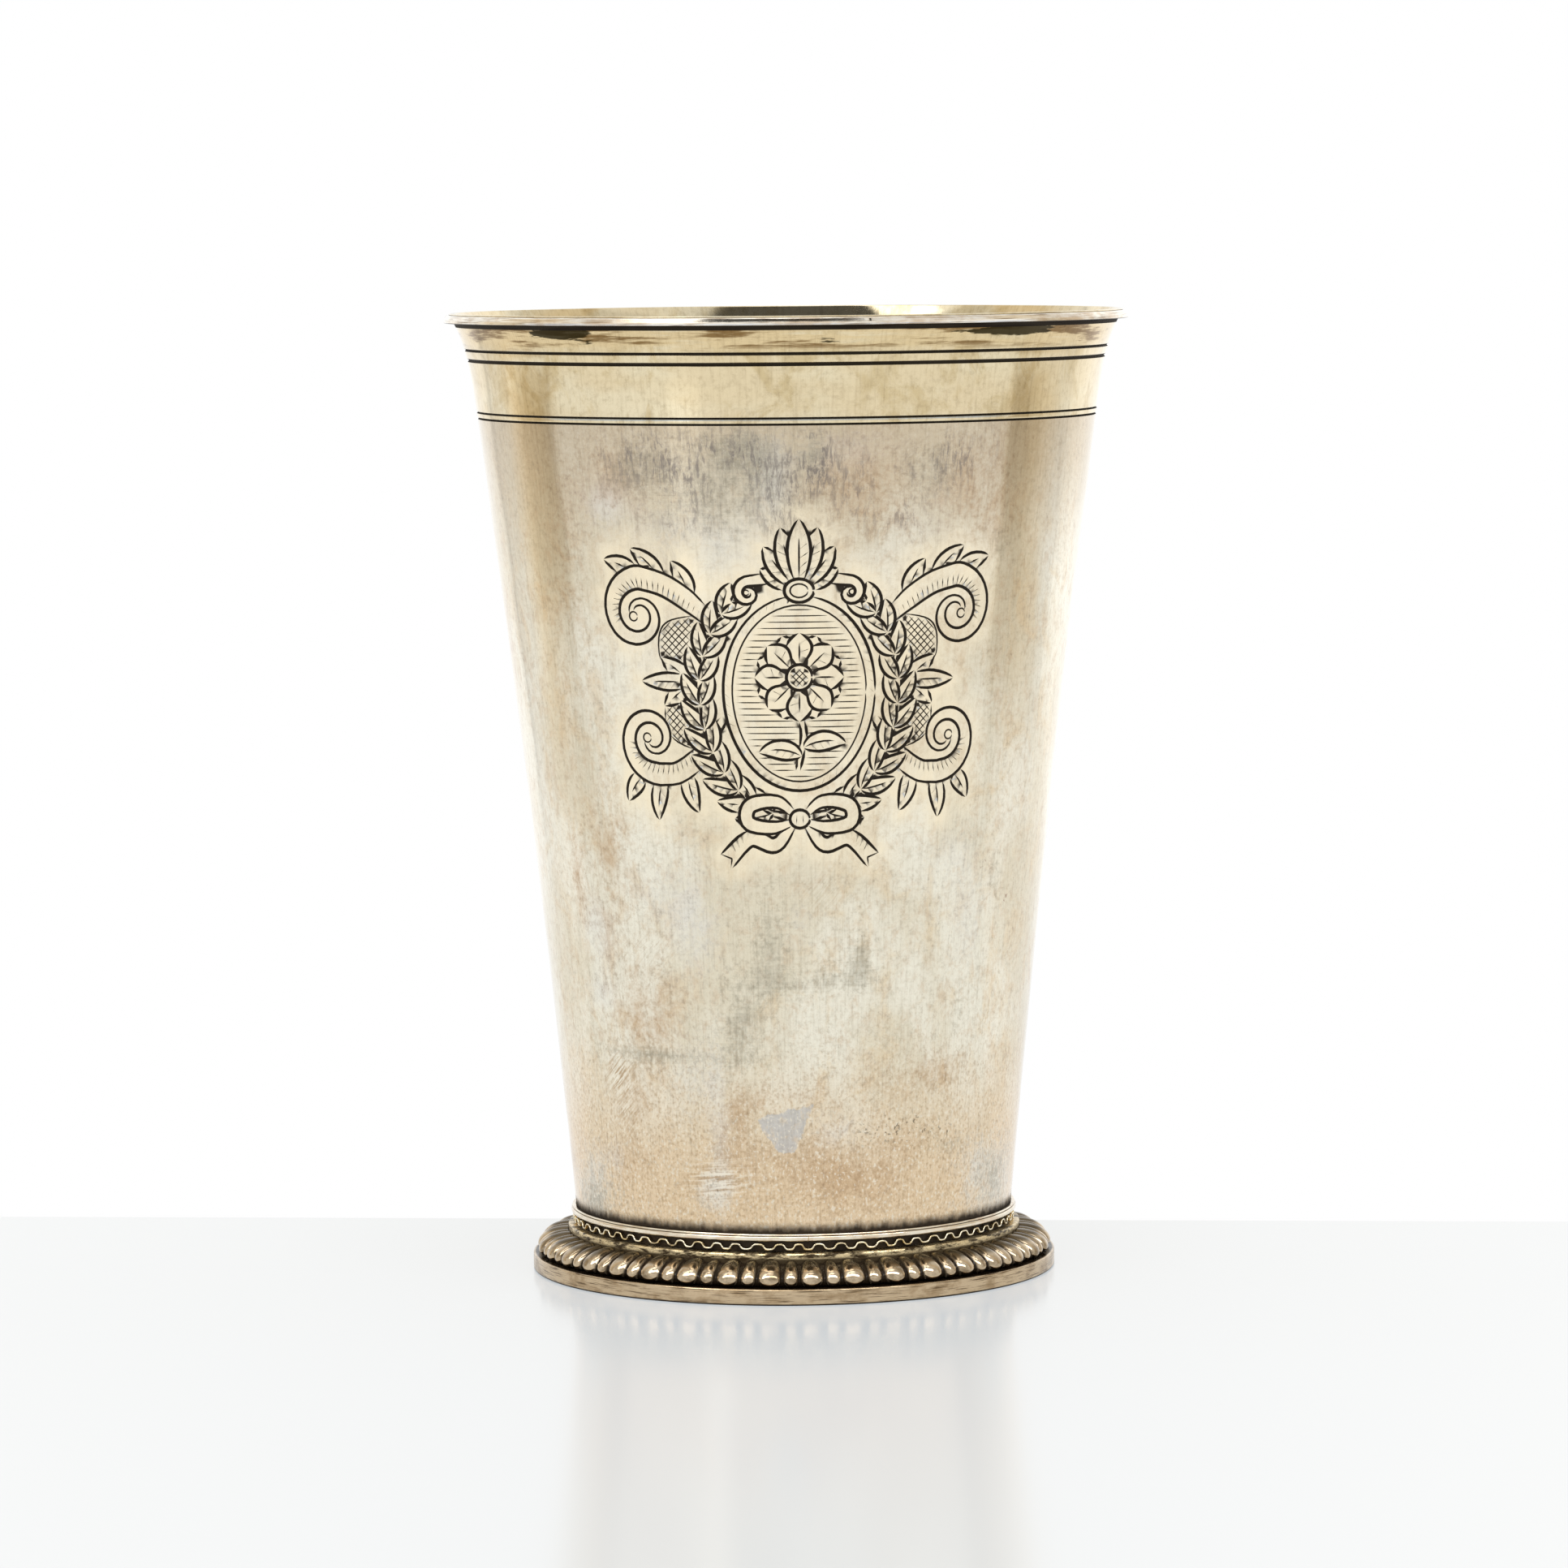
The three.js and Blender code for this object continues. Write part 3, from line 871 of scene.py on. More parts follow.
# %% Draw the pockets and the scrolls
POCKET_SIDE = [
    (13.0, 13.0), (21.4, 11.4), (23.0, 6.4), (21.0, 2.0), (22.6, -2.6), (21.2, -7.6), (13.0, -10.5),
]
POCKET_OVAL = (18.6, 21.6, -40, 44)  # across, up, and the angles where the oval starts and ends
POCKET_GAP = 0.85
SCROLL_LEAVES = [
    ((21.5, 17.6), 62, 8.0), ((17.2, 14.9), 82, 7.2), ((25.4, 18.4), 40, 7.4),
    ((19.2, -12.2), -88, 7.6), ((23.4, -13.4), -62, 7.8), ((27.0, -13.2), -34, 6.4),
]  # base, heading and length
UPPER_SCROLL = [(11.5, 8.5), (16.0, 13.6), (21.0, 17.2), (25.6, 18.6)]
UPPER_HALVES = (0.5, 1.7, 1.9, 1.3, 0.9, 0.35)
LOWER_SCROLL = [(12.4, -4.0), (16.2, -9.6), (20.6, -12.9), (24.4, -13.4)]
LOWER_HALVES = (0.5, 1.6, 1.8, 1.2, 0.85, 0.35)
SCROLL_EYE = 0.75
FAN_ROOT = (17.6, 1.8)
FAN_LEAVES = ((38, 6.4), (-38, 6.4), (0, 9.0))  # spread and length


def draw_pockets():
    """The dark pockets behind the scrolls."""
    for side in SIDES:
        outer = mirrored(flowing(POCKET_SIDE), side)
        inner = mirrored(oval((0, 0), *POCKET_OVAL), side)
        crosshatch(np.vstack([outer, inner]), POCKET_GAP)
        cut(outer, FINE_WIDTH)


def draw_scrolls():
    """Two scrolls on each side, with leaves behind them and a fan of leaves between them."""
    upper = np.vstack([flowing(UPPER_SCROLL), volute((26.3, 12.6), 6.0, 88, -1.3)])
    lower = np.vstack([flowing(LOWER_SCROLL), volute((25.4, -7.6), 5.8, -98, 1.3)])
    for side in SIDES:
        for base, heading, length in SCROLL_LEAVES:
            leaf(mirrored(base, side), heading_for(heading, side), length, 3.0, -34 * side, shade=-side)
        scroll(mirrored(upper, side), UPPER_HALVES, shade=-side, eye=SCROLL_EYE)
        scroll(mirrored(lower, side), LOWER_HALVES, shade=side, eye=SCROLL_EYE)
        for spread, length in FAN_LEAVES:
            leaf(mirrored(FAN_ROOT, side), heading_for(spread, side), length, 2.9, shade=-side)


draw_pockets()
draw_scrolls()
print(f"pockets and scrolls: {len(strokes)} strokes")

# %% [markdown]
# The two branches grow from the bow at the bottom, along an oval, with their leaves in pairs. They lie
# over the roots of the scrolls.

# %% Draw the branches
BRANCH_MIDDLE = (0, -0.4)
BRANCH = (16.4, 19.8)
BRANCH_TIP = 50  # degrees at which the branch ends
BRANCH_LEAVES = 11
LEAF_START = -74
LEAF_TURN = 11.6  # degrees from one pair of leaves to the next
LEAF_PAIR = ((-34, 22), (36, -22))  # swing and bend


def draw_branches():
    """A branch of laurel on each side."""
    for side in SIDES:
        stem = mirrored(oval(BRANCH_MIDDLE, *BRANCH, -84, BRANCH_TIP), side)
        scroll(stem, (0.5, 0.35, 0.2), shade=0)
        for count in range(BRANCH_LEAVES):
            turn = LEAF_START + LEAF_TURN * count
            base = mirrored(on_oval(BRANCH_MIDDLE, *BRANCH, turn), side)
            length = 6.8 - 0.14 * count
            for swing, bend in LEAF_PAIR:
                leaf(base, heading_for(turn + 90 + swing, side), length, 2.5, bend * side, shade=-side)
        tip = on_oval(BRANCH_MIDDLE, *BRANCH, BRANCH_TIP)
        leaf(mirrored(tip, side), heading_for(142, side), 6.0, 2.3, shade=-side)


draw_branches()
print(f"with the branches: {len(strokes)} strokes")

# %% [markdown]
# The medallion lies over the branches: a frame with slanting ticks, and in its hatched field a flower
# with two rings of petals.

# %% Draw the medallion and its flower
MEDALLION = (12.4, 15.8)
FRAME_WIDTH = 1.5
TICK_TURN = 6.0
TICK_SLANT = 4.0
TICK_MARGIN = 0.2
FIELD_MARGIN = 0.35
FIELD_GAP = 1.0
HEART = (0.0, 2.6)
PETALS = 8
PETAL_RING = 1.6
HEART_SIZE = 2.1
HEART_FIELD = 1.8


def inset_medallion(inset):
    """Half the width and half the height of the medallion, less an inset."""
    return MEDALLION[0] - inset, MEDALLION[1] - inset


def draw_medallion():
    """The oval frame with its ticks, and the hatched field."""
    hide_behind(oval((0, 0), *MEDALLION))
    cut(oval((0, 0), *MEDALLION))
    cut(oval((0, 0), *inset_medallion(FRAME_WIDTH)), FINE_WIDTH)
    for turn in np.arange(0, 360, TICK_TURN):
        outer = on_oval((0, 0), *inset_medallion(TICK_MARGIN), turn)
        inner = on_oval((0, 0), *inset_medallion(FRAME_WIDTH - TICK_MARGIN), turn + TICK_SLANT)
        cut([inner, outer], HATCH_WIDTH)
    hatch(oval((0, 0), *inset_medallion(FRAME_WIDTH + FIELD_MARGIN)), 0, FIELD_GAP)


def draw_flower():
    """A flower on its stalk, the back petals first."""
    scroll(flowing([(0, -3.0), (0.7, -7.0), (-0.3, -12.6)]), (0.4, 0.5, 0.35), shade=0)
    leaf((0.6, -8.8), 28, 7.4, 3.2, -50)
    leaf((0.4, -10.2), 152, 7.4, 3.2, 50, shade=1)
    petal_turn = 360 / PETALS
    for start in (petal_turn / 2, 0.0):
        for turn in np.arange(start, 360, petal_turn):
            leaf(on_oval(HEART, PETAL_RING, PETAL_RING, turn), turn, 5.6, 4.0, fullness=1.25)
    heart_ring = oval(HEART, HEART_SIZE, HEART_SIZE, steps=28)
    hide_behind(heart_ring)
    cut(heart_ring)
    crosshatch(oval(HEART, HEART_FIELD, HEART_FIELD, steps=28), 0.75)


draw_medallion()
draw_flower()
print(f"with the medallion and its flower: {len(strokes)} strokes")

# %% [markdown]
# In front of everything stand the palmette, between the tips of the branches, and the bow that ties
# their stems.

# %% Draw the palmette and the bow
PALMETTE_ROOT = (0.0, 16.6)
PALMETTE_LEAVES = ((66, 7.0, 2.6), (44, 9.0, 3.0), (22, 10.6, 3.3))  # spread, length and width
PALMETTE_FULLNESS = 1.15
BOW_TAIL = [(0.8, -20.6), (4.2, -24.6), (8.6, -23.6), (13.0, -27.4)]
TAIL_END = [(12.2, -28.6), (11.9, -26.9), (13.9, -26.2)]
BOW_LOOP = [(0.4, -20.2), (3.8, -17.6), (8.4, -18.2), (8.8, -21.0), (4.6, -21.8), (0.4, -20.6)]
KNOT_FOLDS = ([(-0.5, -19.4), (-0.6, -21.4)], [(0.5, -19.4), (0.6, -21.4)])


def draw_palmette():
    """Seven leaves above a boss, between two curls."""
    curl = np.vstack([flowing([(1.5, 17.0), (4.6, 18.4), (7.6, 18.2)]), volute((7.9, 16.2), 2.0, 92, -1.2)])
    for side in SIDES:
        scroll(mirrored(curl, side), (0.4, 0.9, 0.7, 0.3), shade=-side, eye=0.45)
    for spread, length, width in PALMETTE_LEAVES:
        for side in SIDES:
            heading = heading_for(90 - spread, side)
            leaf(PALMETTE_ROOT, heading, length, width, 14 * side, PALMETTE_FULLNESS, -side)
    leaf(PALMETTE_ROOT, 90, 11.6, 3.6, fullness=PALMETTE_FULLNESS)
    boss = oval(PALMETTE_ROOT, 2.3, 1.9, steps=28)
    hide_behind(boss)
    cut(boss)
    cut(oval(PALMETTE_ROOT, 1.4, 1.1, steps=20), FINE_WIDTH)


def draw_bow():
    """Two tails, two loops and the knot."""
    for side in SIDES:
        scroll(mirrored(flowing(BOW_TAIL), side), (0.6, 1.2, 1.3, 1.5), shade=side)
        cut(mirrored(TAIL_END, side), FINE_WIDTH)
        scroll(mirrored(flowing(BOW_LOOP), side), (0.4, 1.0, 1.2, 1.2, 1.0, 0.4), shade=side)
    knot = oval((0, -20.4), 1.7, 1.5, steps=24)
    hide_behind(knot)
    cut(knot)
    for fold in KNOT_FOLDS:
        cut(fold, HATCH_WIDTH)


draw_palmette()
draw_bow()
ink = sum(np.linalg.norm(np.diff(points, axis=0), axis=1).sum() for points, _ in strokes)
print(f"ornament: {len(strokes)} strokes, {ink:.0f} mm in all")

# %% [markdown]
# ## From strokes to grooves
#
# To cut the strokes into the wall, the wall's front is unrolled into a flat sheet. Each stroke brings
# three lines: its left edge, its bottom and its right edge. Blender's constrained Delaunay
# triangulation fills the sheet with triangles that keep those lines, also where strokes cross. Points
# at the bottom of a stroke are then sunk, and the sheet is rolled up again.
#
# A displaced grid could do the same, but it would need millions of faces for lines this fine.

# %% Turn a stroke into lines for the triangulation
LONGEST_STEP = 1.2
SHARPEST_STEP = math.radians(7)
TAPER = 0.9  # millimetres over which a stroke runs out to a point
TAPER_CURVE = 0.6
STROKE_SWELL = 0.35  # share of its width that a stroke gains towards its middle


def thinned(points):
    """Indices of the points that a line needs: where it bends, and at least every LONGEST_STEP."""
    step = np.diff(points, axis=0)
    heading = np.unwrap(np.arctan2(step[:, 1], step[:, 0]))
    keep = [0]
    for i in range(1, len(points) - 1):
        turned = abs(heading[i] - heading[keep[-1]])
        far = np.linalg.norm(points[i] - points[keep[-1]])
        if turned > SHARPEST_STEP or far > LONGEST_STEP:
            keep.append(i)
    keep.append(len(points) - 1)
    return keep


def stroke_halves(points, width):
    """Half the stroke's width at each point: it swells and runs out to nothing at both ends."""
    along = np.concatenate([[0], np.cumsum(np.linalg.norm(np.diff(points, axis=0), axis=1))])
    to_end = np.minimum(along, along[-1] - along)
    swelling = 1 - STROKE_SWELL + STROKE_SWELL * np.sin(math.pi * along / along[-1])
    tapering = np.clip(to_end / min(TAPER, along[-1] / 2), 0, 1) ** TAPER_CURVE
    return width / 2 * swelling * tapering


def stroke_lines(points, width):
    """Points of a stroke's two edges and bottom, and the pairs of points to keep joined."""
    ring = np.linalg.norm(points[0] - points[-1]) < STROKE_STEP
    half = np.full(len(points), width / 2) if ring else stroke_halves(points, width)
    keep = thinned(points)
    heading = np.gradient(points, axis=0)
    if ring:
        heading[[0, -1]] = points[1] - points[-2]
        keep = keep[:-1]
    heading /= np.linalg.norm(heading, axis=1, keepdims=True)
    aside = np.stack([-heading[:, 1], heading[:, 0]], -1) * half[:, None]
    lines = [points[keep] + aside[keep], points[keep], points[keep] - aside[keep]]
    count = len(keep)
    pairs = [(i, i + 1) for i in range(count - 1)] + ([(count - 1, 0)] if ring else [])
    joined = [(a + count * line, b + count * line) for line in range(3) for a, b in pairs]
    return np.vstack(lines), joined


print(f"a stroke runs out over {TAPER} mm")

# %% [markdown]
# How deep the engraving is at a point depends on the nearest strokes: a V that is wider is also deeper.
# Asking every stroke for every point would be slow, so fine samples of all the strokes go into a tree
# that finds the near ones at once.

# %% Measure the depth of the engraving
ORNAMENT_ANGLE = math.radians(2.0)
ORNAMENT_LEVEL = 99.5
UNROLL_RADIUS = 46.2  # the wall's radius at the ornament's middle
SAMPLE_STEP = 0.06
GROOVE_SLOPE = 0.85  # depth for each millimetre in from the edge

place = np.array([ORNAMENT_ANGLE * UNROLL_RADIUS, ORNAMENT_LEVEL])
engraved = [(points + place, width) for points, width in strokes]
samples = [(evenly(points, SAMPLE_STEP), width) for points, width in engraved]
sample_points = np.vstack([points for points, _ in samples])
sample_halves = np.concatenate([stroke_halves(points, width) for points, width in samples])
nearest = KDTree(len(sample_points))
for i, (x, y) in enumerate(sample_points):
    nearest.insert((x, y, 0), i)
nearest.balance()


def groove_depth(x, y):
    """Depth of the engraving at a point of the unrolled sheet."""
    found = nearest.find_range((x, y, 0), OUTLINE_WIDTH / 2)
    return GROOVE_SLOPE * max([sample_halves[i] - away for _, i, away in found], default=0.0)


print(f"engraving: {len(sample_points)} samples along the strokes")

# %% [markdown]
# ## The wall as a mesh
#
# Away from the engraving the wall is a regular grid of quads: rows close together at the turned lines
# and at the lip, wide apart on the plain side. A window is left out of that grid for the engraved
# sheet, and the sheet's border uses the grid's own points, so that no seam opens.

# %% Lay out the wall's rows and columns
COLUMNS = 240
ROW_GAP = 2.0
LIP_ROW_GAP = 0.3
LIP_ROW_START = 2.4  # the close rows of the lip start so far above the gilding's edge
LIP_ROUND = 0.2
LIP_TILT = 30  # degrees that the flaring inner face leans out at its upper end
LIP_TURN = 18  # the rounding starts at this turn outside
LIP_STEPS = 4
LIP_LAST_ROW = 0.04  # a row this far below the rounding keeps it narrow
LINE_ROW_GAP = 0.075
LINE_MARGIN = 0.4
INNER_ROW_GAP = 4.0


def outer_levels():
    """Levels of the rows on the outside, from the lower end to just below the edge of the lip."""
    low_part = np.arange(WALL_BOTTOM, GILT_LEVEL, ROW_GAP)
    high_part = np.arange(GILT_LEVEL + LIP_ROW_START, LIP_TOP - LIP_ROUND, LIP_ROW_GAP)
    parts = [low_part, high_part]
    for (low, _), (high, _) in zip(TURNED_LINES[::2], TURNED_LINES[1::2]):
        start, end = low - LINE_MARGIN, high + LINE_MARGIN
        parts = [part[(part < start - LINE_ROW_GAP) | (part > end + LINE_ROW_GAP)] for part in parts]
        parts.append(np.arange(start, end, LINE_ROW_GAP))
    return np.sort(np.concatenate([*parts, [LIP_TOP - LIP_ROUND]]))


levels = outer_levels()
edge_radius = float(wall_radius(LIP_TOP - LIP_ROUND))
inner_end = LIP_TOP - LIP_ROUND * (1 - math.sin(math.radians(LIP_TILT)))
inner_edge = float(wall_radius(inner_end)) - WALL + LIP_ROUND * math.cos(math.radians(LIP_TILT))
lip_outline = [
    *arc((edge_radius - LIP_ROUND, LIP_TOP - LIP_ROUND), LIP_ROUND, LIP_TURN, 90, LIP_STEPS),
    *arc((inner_edge, LIP_TOP - LIP_ROUND), LIP_ROUND, 90, 180 - LIP_TILT, LIP_STEPS),
]
inner_levels = np.concatenate([
    [inner_end - LIP_LAST_ROW],
    np.arange(LIP_TOP - LIP_ROUND, GILT_LEVEL, -LIP_ROW_GAP),
    np.arange(GILT_LEVEL, WALL_BOTTOM + 1, -INNER_ROW_GAP),
    [WALL_BOTTOM],
])
inner_outline = [(float(wall_radius(z)) - WALL, z) for z in inner_levels]
column_angles = np.linspace(-math.pi, math.pi, COLUMNS, endpoint=False)
angle_grid = column_angles[:, None]
outer_points = wall_point(angle_grid, levels[None, :], line_depth(levels)[None, :])
rest_radius, rest_height = np.array(lip_outline + inner_outline).T
rest_points = around(rest_radius + raised(angle_grid, rest_height), angle_grid, rest_height)
grid_points = np.concatenate([outer_points, rest_points], axis=1)
rows = grid_points.shape[1]
print(f"wall grid: {COLUMNS} columns of {rows} rows, {len(levels)} of them outside")

# %% [markdown]
# The window's border becomes the frame of the triangulation. Inside it, plain grid points keep the
# triangles small enough to follow the round wall, and they stay a little away from the strokes, so
# that no needle-thin triangles form there.

# %% Triangulate the engraved window
WINDOW_ANGLES = np.radians((-46.51, 49.51))
WINDOW_LEVELS = (66.0, 132.0)
CLEAR_OF_STROKES = 0.5
MERGE_DISTANCE = 1e-3
SMALLEST_DEPTH = 0.012


def between_both(values, ends):
    """Indices of the values that lie between two ends."""
    return np.flatnonzero((values >= ends[0]) & (values <= ends[1]))


window_columns = between_both(column_angles, WINDOW_ANGLES)
window_rows = between_both(levels, WINDOW_LEVELS)
first_column, last_column = window_columns[[0, -1]]
first_row, last_row = window_rows[[0, -1]]
border = (
    [(c, first_row) for c in range(first_column, last_column)]
    + [(last_column, r) for r in range(first_row, last_row)]
    + [(c, last_row) for c in range(last_column, first_column, -1)]
    + [(first_column, r) for r in range(last_row, first_row, -1)]
)


def unrolled(column, row):
    """Where a grid point lies on the unrolled sheet."""
    return column_angles[column] * UNROLL_RADIUS, levels[row]


sheet_points = [unrolled(c, r) for c, r in border]
sheet_edges = [(i, (i + 1) % len(border)) for i in range(len(border))]
for c in range(first_column + 1, last_column):
    for r in range(first_row + 1, last_row):
        x, y = unrolled(c, r)
        if nearest.find((x, y, 0))[2] > CLEAR_OF_STROKES:
            sheet_points.append((x, y))
for points, width in engraved:
    lines, joined = stroke_lines(points, width)
    start = len(sheet_points)
    sheet_points.extend(lines.tolist())
    sheet_edges.extend((start + a, start + b) for a, b in joined)

corners = [Vector(p) for p in sheet_points]
flat, _, triangles, origin, _, _ = delaunay_2d_cdt(corners, sheet_edges, [], 0, MERGE_DISTANCE)
flat = np.array([tuple(p) for p in flat])
depth = np.array([groove_depth(x, y) for x, y in flat])
depth[depth < SMALLEST_DEPTH] = 0
print(f"engraved sheet: {len(flat)} points, {len(triangles)} triangles, deepest {depth.max():.2f} mm")

# %% [markdown]
# Now the sheet is rolled up and joined to the grid. Smooth shading would round off the grooves and
# ripple the plain metal between them, because the triangles are uneven. So the plain triangles get
# the wall's true normals, and the sides of the grooves keep their own flat ones.

# %% Join the grid and the sheet
LIP_DIRT_AND_SHADE = 0.7  # black corner under the lip wire: dirt and painted shade
WIRE_COVER = 0.1  # the wall is not painted black from just below the wire's top
WALL_CRISP = math.radians(25)

sheet_angle = flat[:, 0] / UNROLL_RADIUS
sheet_level = flat[:, 1]
border_index = [c * rows + r for c, r in border]
index = np.empty(len(flat), int)
new_count = 0
for i, sources in enumerate(origin):
    on_border = [s for s in sources if s < len(border)]
    if on_border:
        index[i] = border_index[on_border[0]]
    else:
        index[i] = COLUMNS * rows + new_count
        new_count += 1
is_new = index >= COLUMNS * rows
new_points = wall_point(sheet_angle, sheet_level, depth)[is_new]

grid_quads = ring_faces(COLUMNS, rows)
quad_column, quad_row = np.divmod(np.arange(COLUMNS * rows), rows)
in_columns = (quad_column >= first_column) & (quad_column < last_column)
in_window = in_columns & (quad_row >= first_row) & (quad_row < last_row)
wall_faces = grid_quads[~in_window].tolist() + [[int(index[i]) for i in t] for t in triangles]
wall_points = np.vstack([grid_points.reshape(-1, 3), new_points])
raised_wall = new_piece("raised_wall", wall_points, wall_faces, "cup_wall", crisp=WALL_CRISP)

dirt_and_shade_under_wire = (levels > WIRE_BOTTOM - LIP_DIRT_AND_SHADE) & (levels < WIRE_TOP - WIRE_COVER)
grid_grooves_and_shade = np.zeros((COLUMNS, rows))
# grooves are dark with patina; under the lip wire the wall is painted black as dirt and painted shade
grid_grooves_and_shade[:, :len(levels)] = np.maximum(line_depth(levels) / LINE_DEPTH, dirt_and_shade_under_wire)
groove_and_shade_share = np.concatenate([grid_grooves_and_shade.ravel(), depth[is_new] / (GROOVE_SLOPE * OUTLINE_WIDTH / 2)])
store(raised_wall, "cut", np.clip(groove_and_shade_share, 0, 1))

# %% Give the plain metal its true normals
wall_mesh = raised_wall.data
corner_normals = np.empty(3 * len(wall_mesh.loops))
wall_mesh.corner_normals.foreach_get("vector", corner_normals)
corner_normals = corner_normals.reshape(-1, 3)
true_normals = wall_normal(sheet_angle, sheet_level)
first_corner = 4 * int((~in_window).sum())
for t in triangles:
    if depth[list(t)].max() == 0:
        corner_normals[first_corner:first_corner + 3] = true_normals[list(t)]
    first_corner += 3
wall_mesh.normals_split_custom_set(corner_normals.tolist())
print(f"raised_wall: {len(wall_mesh.vertices)} points")

# %% [markdown]
# ## Where the tarnish sits
#
# Old silver is never one colour. Thin sulphide films go from straw over brown to blue-grey, hands and
# cloths rub them off again, and some spots stay. A noise alone would spread such stains evenly, but
# here they have places. So each kind of stain gets a list of soft spots on the wall: the angle from
# the front in degrees, the level, half the width in degrees, half the height and a strength. The
# finish then breaks up their edges with a noise. The back of the cup gets spots by a seeded chance.
# The lists also hold painted light: one cool spot is a painted highlight, and the spots in the hollow under
# the lip wire are painted dark reflections.

# %% List the stains
BROWN_SPOTS = [
    (-33, 134, 10, 8, 0.7), (14, 134, 12, 9, 0.8), (38, 132, 9, 10, 0.7), (-47, 118, 4, 16, 0.4),
    (22, 104, 18, 18, 0.35), (-55.5, 68, 2.5, 7, 0.9), (-44, 72, 8, 8, 0.7), (-47, 60, 8, 4, 0.4),
    (-38, 50, 12, 8, 0.5), (-35, 44, 12, 6, 0.45), (-42, 32, 9, 6, 0.6), (-12, 33, 6, 3, 0.7),
    (-14, 25, 7, 8, 0.6), (6, 22, 15, 6, 0.7), (2, 34, 6, 2, 0.6), (36, 36.5, 13, 3.6, 0.7),
    (30, 25, 10, 4, 0.4), (20, 18, 14, 6, 0.5), (-46, 21, 8, 5, 0.6),
]
GREY_SPOTS = [
    (-5, 59, 4.5, 8, 0.9), (4, 52.4, 13, 1.8, 0.8), (15.5, 55, 3, 4, 1.0), (-12, 45, 5, 8, 0.9),
    (-36, 39.5, 18, 1.6, 0.9), (-40, 52.3, 15, 0.8, 0.5), (-62, 14, 12, 5, 0.9), (62, 17, 12, 6, 0.8),
    (42, 24, 7, 2, 0.6), (43, 46, 1.4, 4, 0.7), (-8, 138, 5, 3, 1.0), (4.5, 138, 2.4, 3, 1.0),
    (-12, 133, 14, 8, 0.8), (26, 135, 7, 5, 0.7), (-29, 136, 6, 5, 0.6), (45, 122, 1.5, 3, 0.8),
    (-20, 88, 6, 10, 0.3), (52, 68, 2, 5, 0.6),
]
COOL_SPOTS_AND_HIGHLIGHT = [
    (-36, 130, 5, 4, 1.0), (-3, 133, 4, 8, 0.8), (-10, 121, 7, 6, 0.6), (-28, 103, 12, 14, 0.5),
    (-50, 60, 6, 6, 0.9), (-22, 62, 6, 8, 0.9), (-32, 67, 8, 6, 0.5), (-50, 49, 5, 3, 0.9),
    (-20, 18, 6, 3, 1.0), (2, 62, 4, 4, 0.5), (38, 72, 8, 6, 0.5), (12, 27, 7, 3, 0.8),
    # (-18, 30, 3, 16, 0.7) is a painted highlight: a pale vertical streak of light low on the front
    (-25, 37, 6, 8, 0.6), (44, 60, 6, 8, 0.6), (-50, 22, 4, 3, 0.5), (-18, 30, 3, 16, 0.7),
    (12, 138, 10, 4, 0.6), (-22, 126, 10, 6, 0.5), (28, 126, 9, 6, 0.4), (-64, 16, 13, 7, 1.0),
    (64, 16, 15, 7, 1.0), (54, 20, 8, 5, 0.5),
]
BLACK_SPECKS = [(22, 27.5, 6, 2, 1.0), (31, 27, 4, 2.4, 1.0), (40, 26, 5, 2, 0.8), (-20, 18, 3, 2, 0.5)]
# painted dark reflections in the hollow under the lip wire, on both sides
DARK_REFLECTION_SPOTS = [
    (-41, 157.1, 7, 0.9, 1.2), (42, 157.2, 11, 0.85, 1.2), (7, 156.2, 4, 0.9, 0.5),
    (-36, 155.6, 2, 0.5, 0.6),
]
STREAK_SPOTS = [
    (-10, 138, 8, 4.5, 1.0), (4.5, 137, 4, 5, 1.0), (-30, 138, 9, 5, 0.9), (22, 128, 5, 8, 0.6),
    (-20, 131, 6, 8, 0.8), (32, 137, 9, 5, 0.8), (12, 133, 6, 7, 0.7), (-2, 130, 5, 6, 0.8),
]
SLANT_SCRATCHES = [
    (-47, 35.5, 4.5, 3.5, 1.0), (-45, 29, 4, 2, 0.6), (-34, 57, 7, 3, 0.25), (7, 67, 4, 2, 0.3),
]
LEVEL_SCRATCHES = [(-19, 19.4, 7, 2.6, 1.0)]
RUST_SPECKS = [(56.5, 64, 1.6, 1.2, 1.0), (60, 66.6, 1.3, 0.9, 1.0), (47, 70.5, 3, 1.2, 0.8)]
FRONT_STAINS = {"brown": BROWN_SPOTS, "grey": GREY_SPOTS, "cool": COOL_SPOTS_AND_HIGHLIGHT}
FRONT_MARKS = {
    "black": BLACK_SPECKS,
    "rust": RUST_SPECKS,
    "dark_reflection": DARK_REFLECTION_SPOTS,
    "streaky": STREAK_SPOTS,
    "slant": SLANT_SCRATCHES,
    "across": LEVEL_SCRATCHES,
}
print(f"stains: {sum(len(spots) for spots in FRONT_STAINS.values())} spots by hand")

# %% [markdown]
# The spots are spread over the points of the wall, on its outer face alone. In the same way the wall
# learns which of its points are gilded, which lie in the brown hollow under the lip wire and which lie
# inside, and how near a point is to the engraving, because the ground there was burnished.

# %% Lay the stains on the wall
SPOTS_BEHIND = 17  # of each kind
BEHIND_SPANS = ((80, 280), (12, 138), (4, 14), (3, 12), (0.4, 1.0))
HOLLOW_START = LIP_TOP - 5.9  # from here up to the wire the gilding is brown
HOLLOW_FADE = 1.3
INSIDE_START = LIP_TOP - 4.0  # from here down the gilding inside is soft and unpolished
INSIDE_FADE = 8.0
BURNISHED_REACH = 3.5  # millimetres over which the burnished ground fades out
keeper = random.Random(23)


def spots_behind(count):
    """Spots like those in the lists, by chance, on the side away from the camera."""
    return [tuple(keeper.uniform(*span) for span in BEHIND_SPANS) for _ in range(count)]


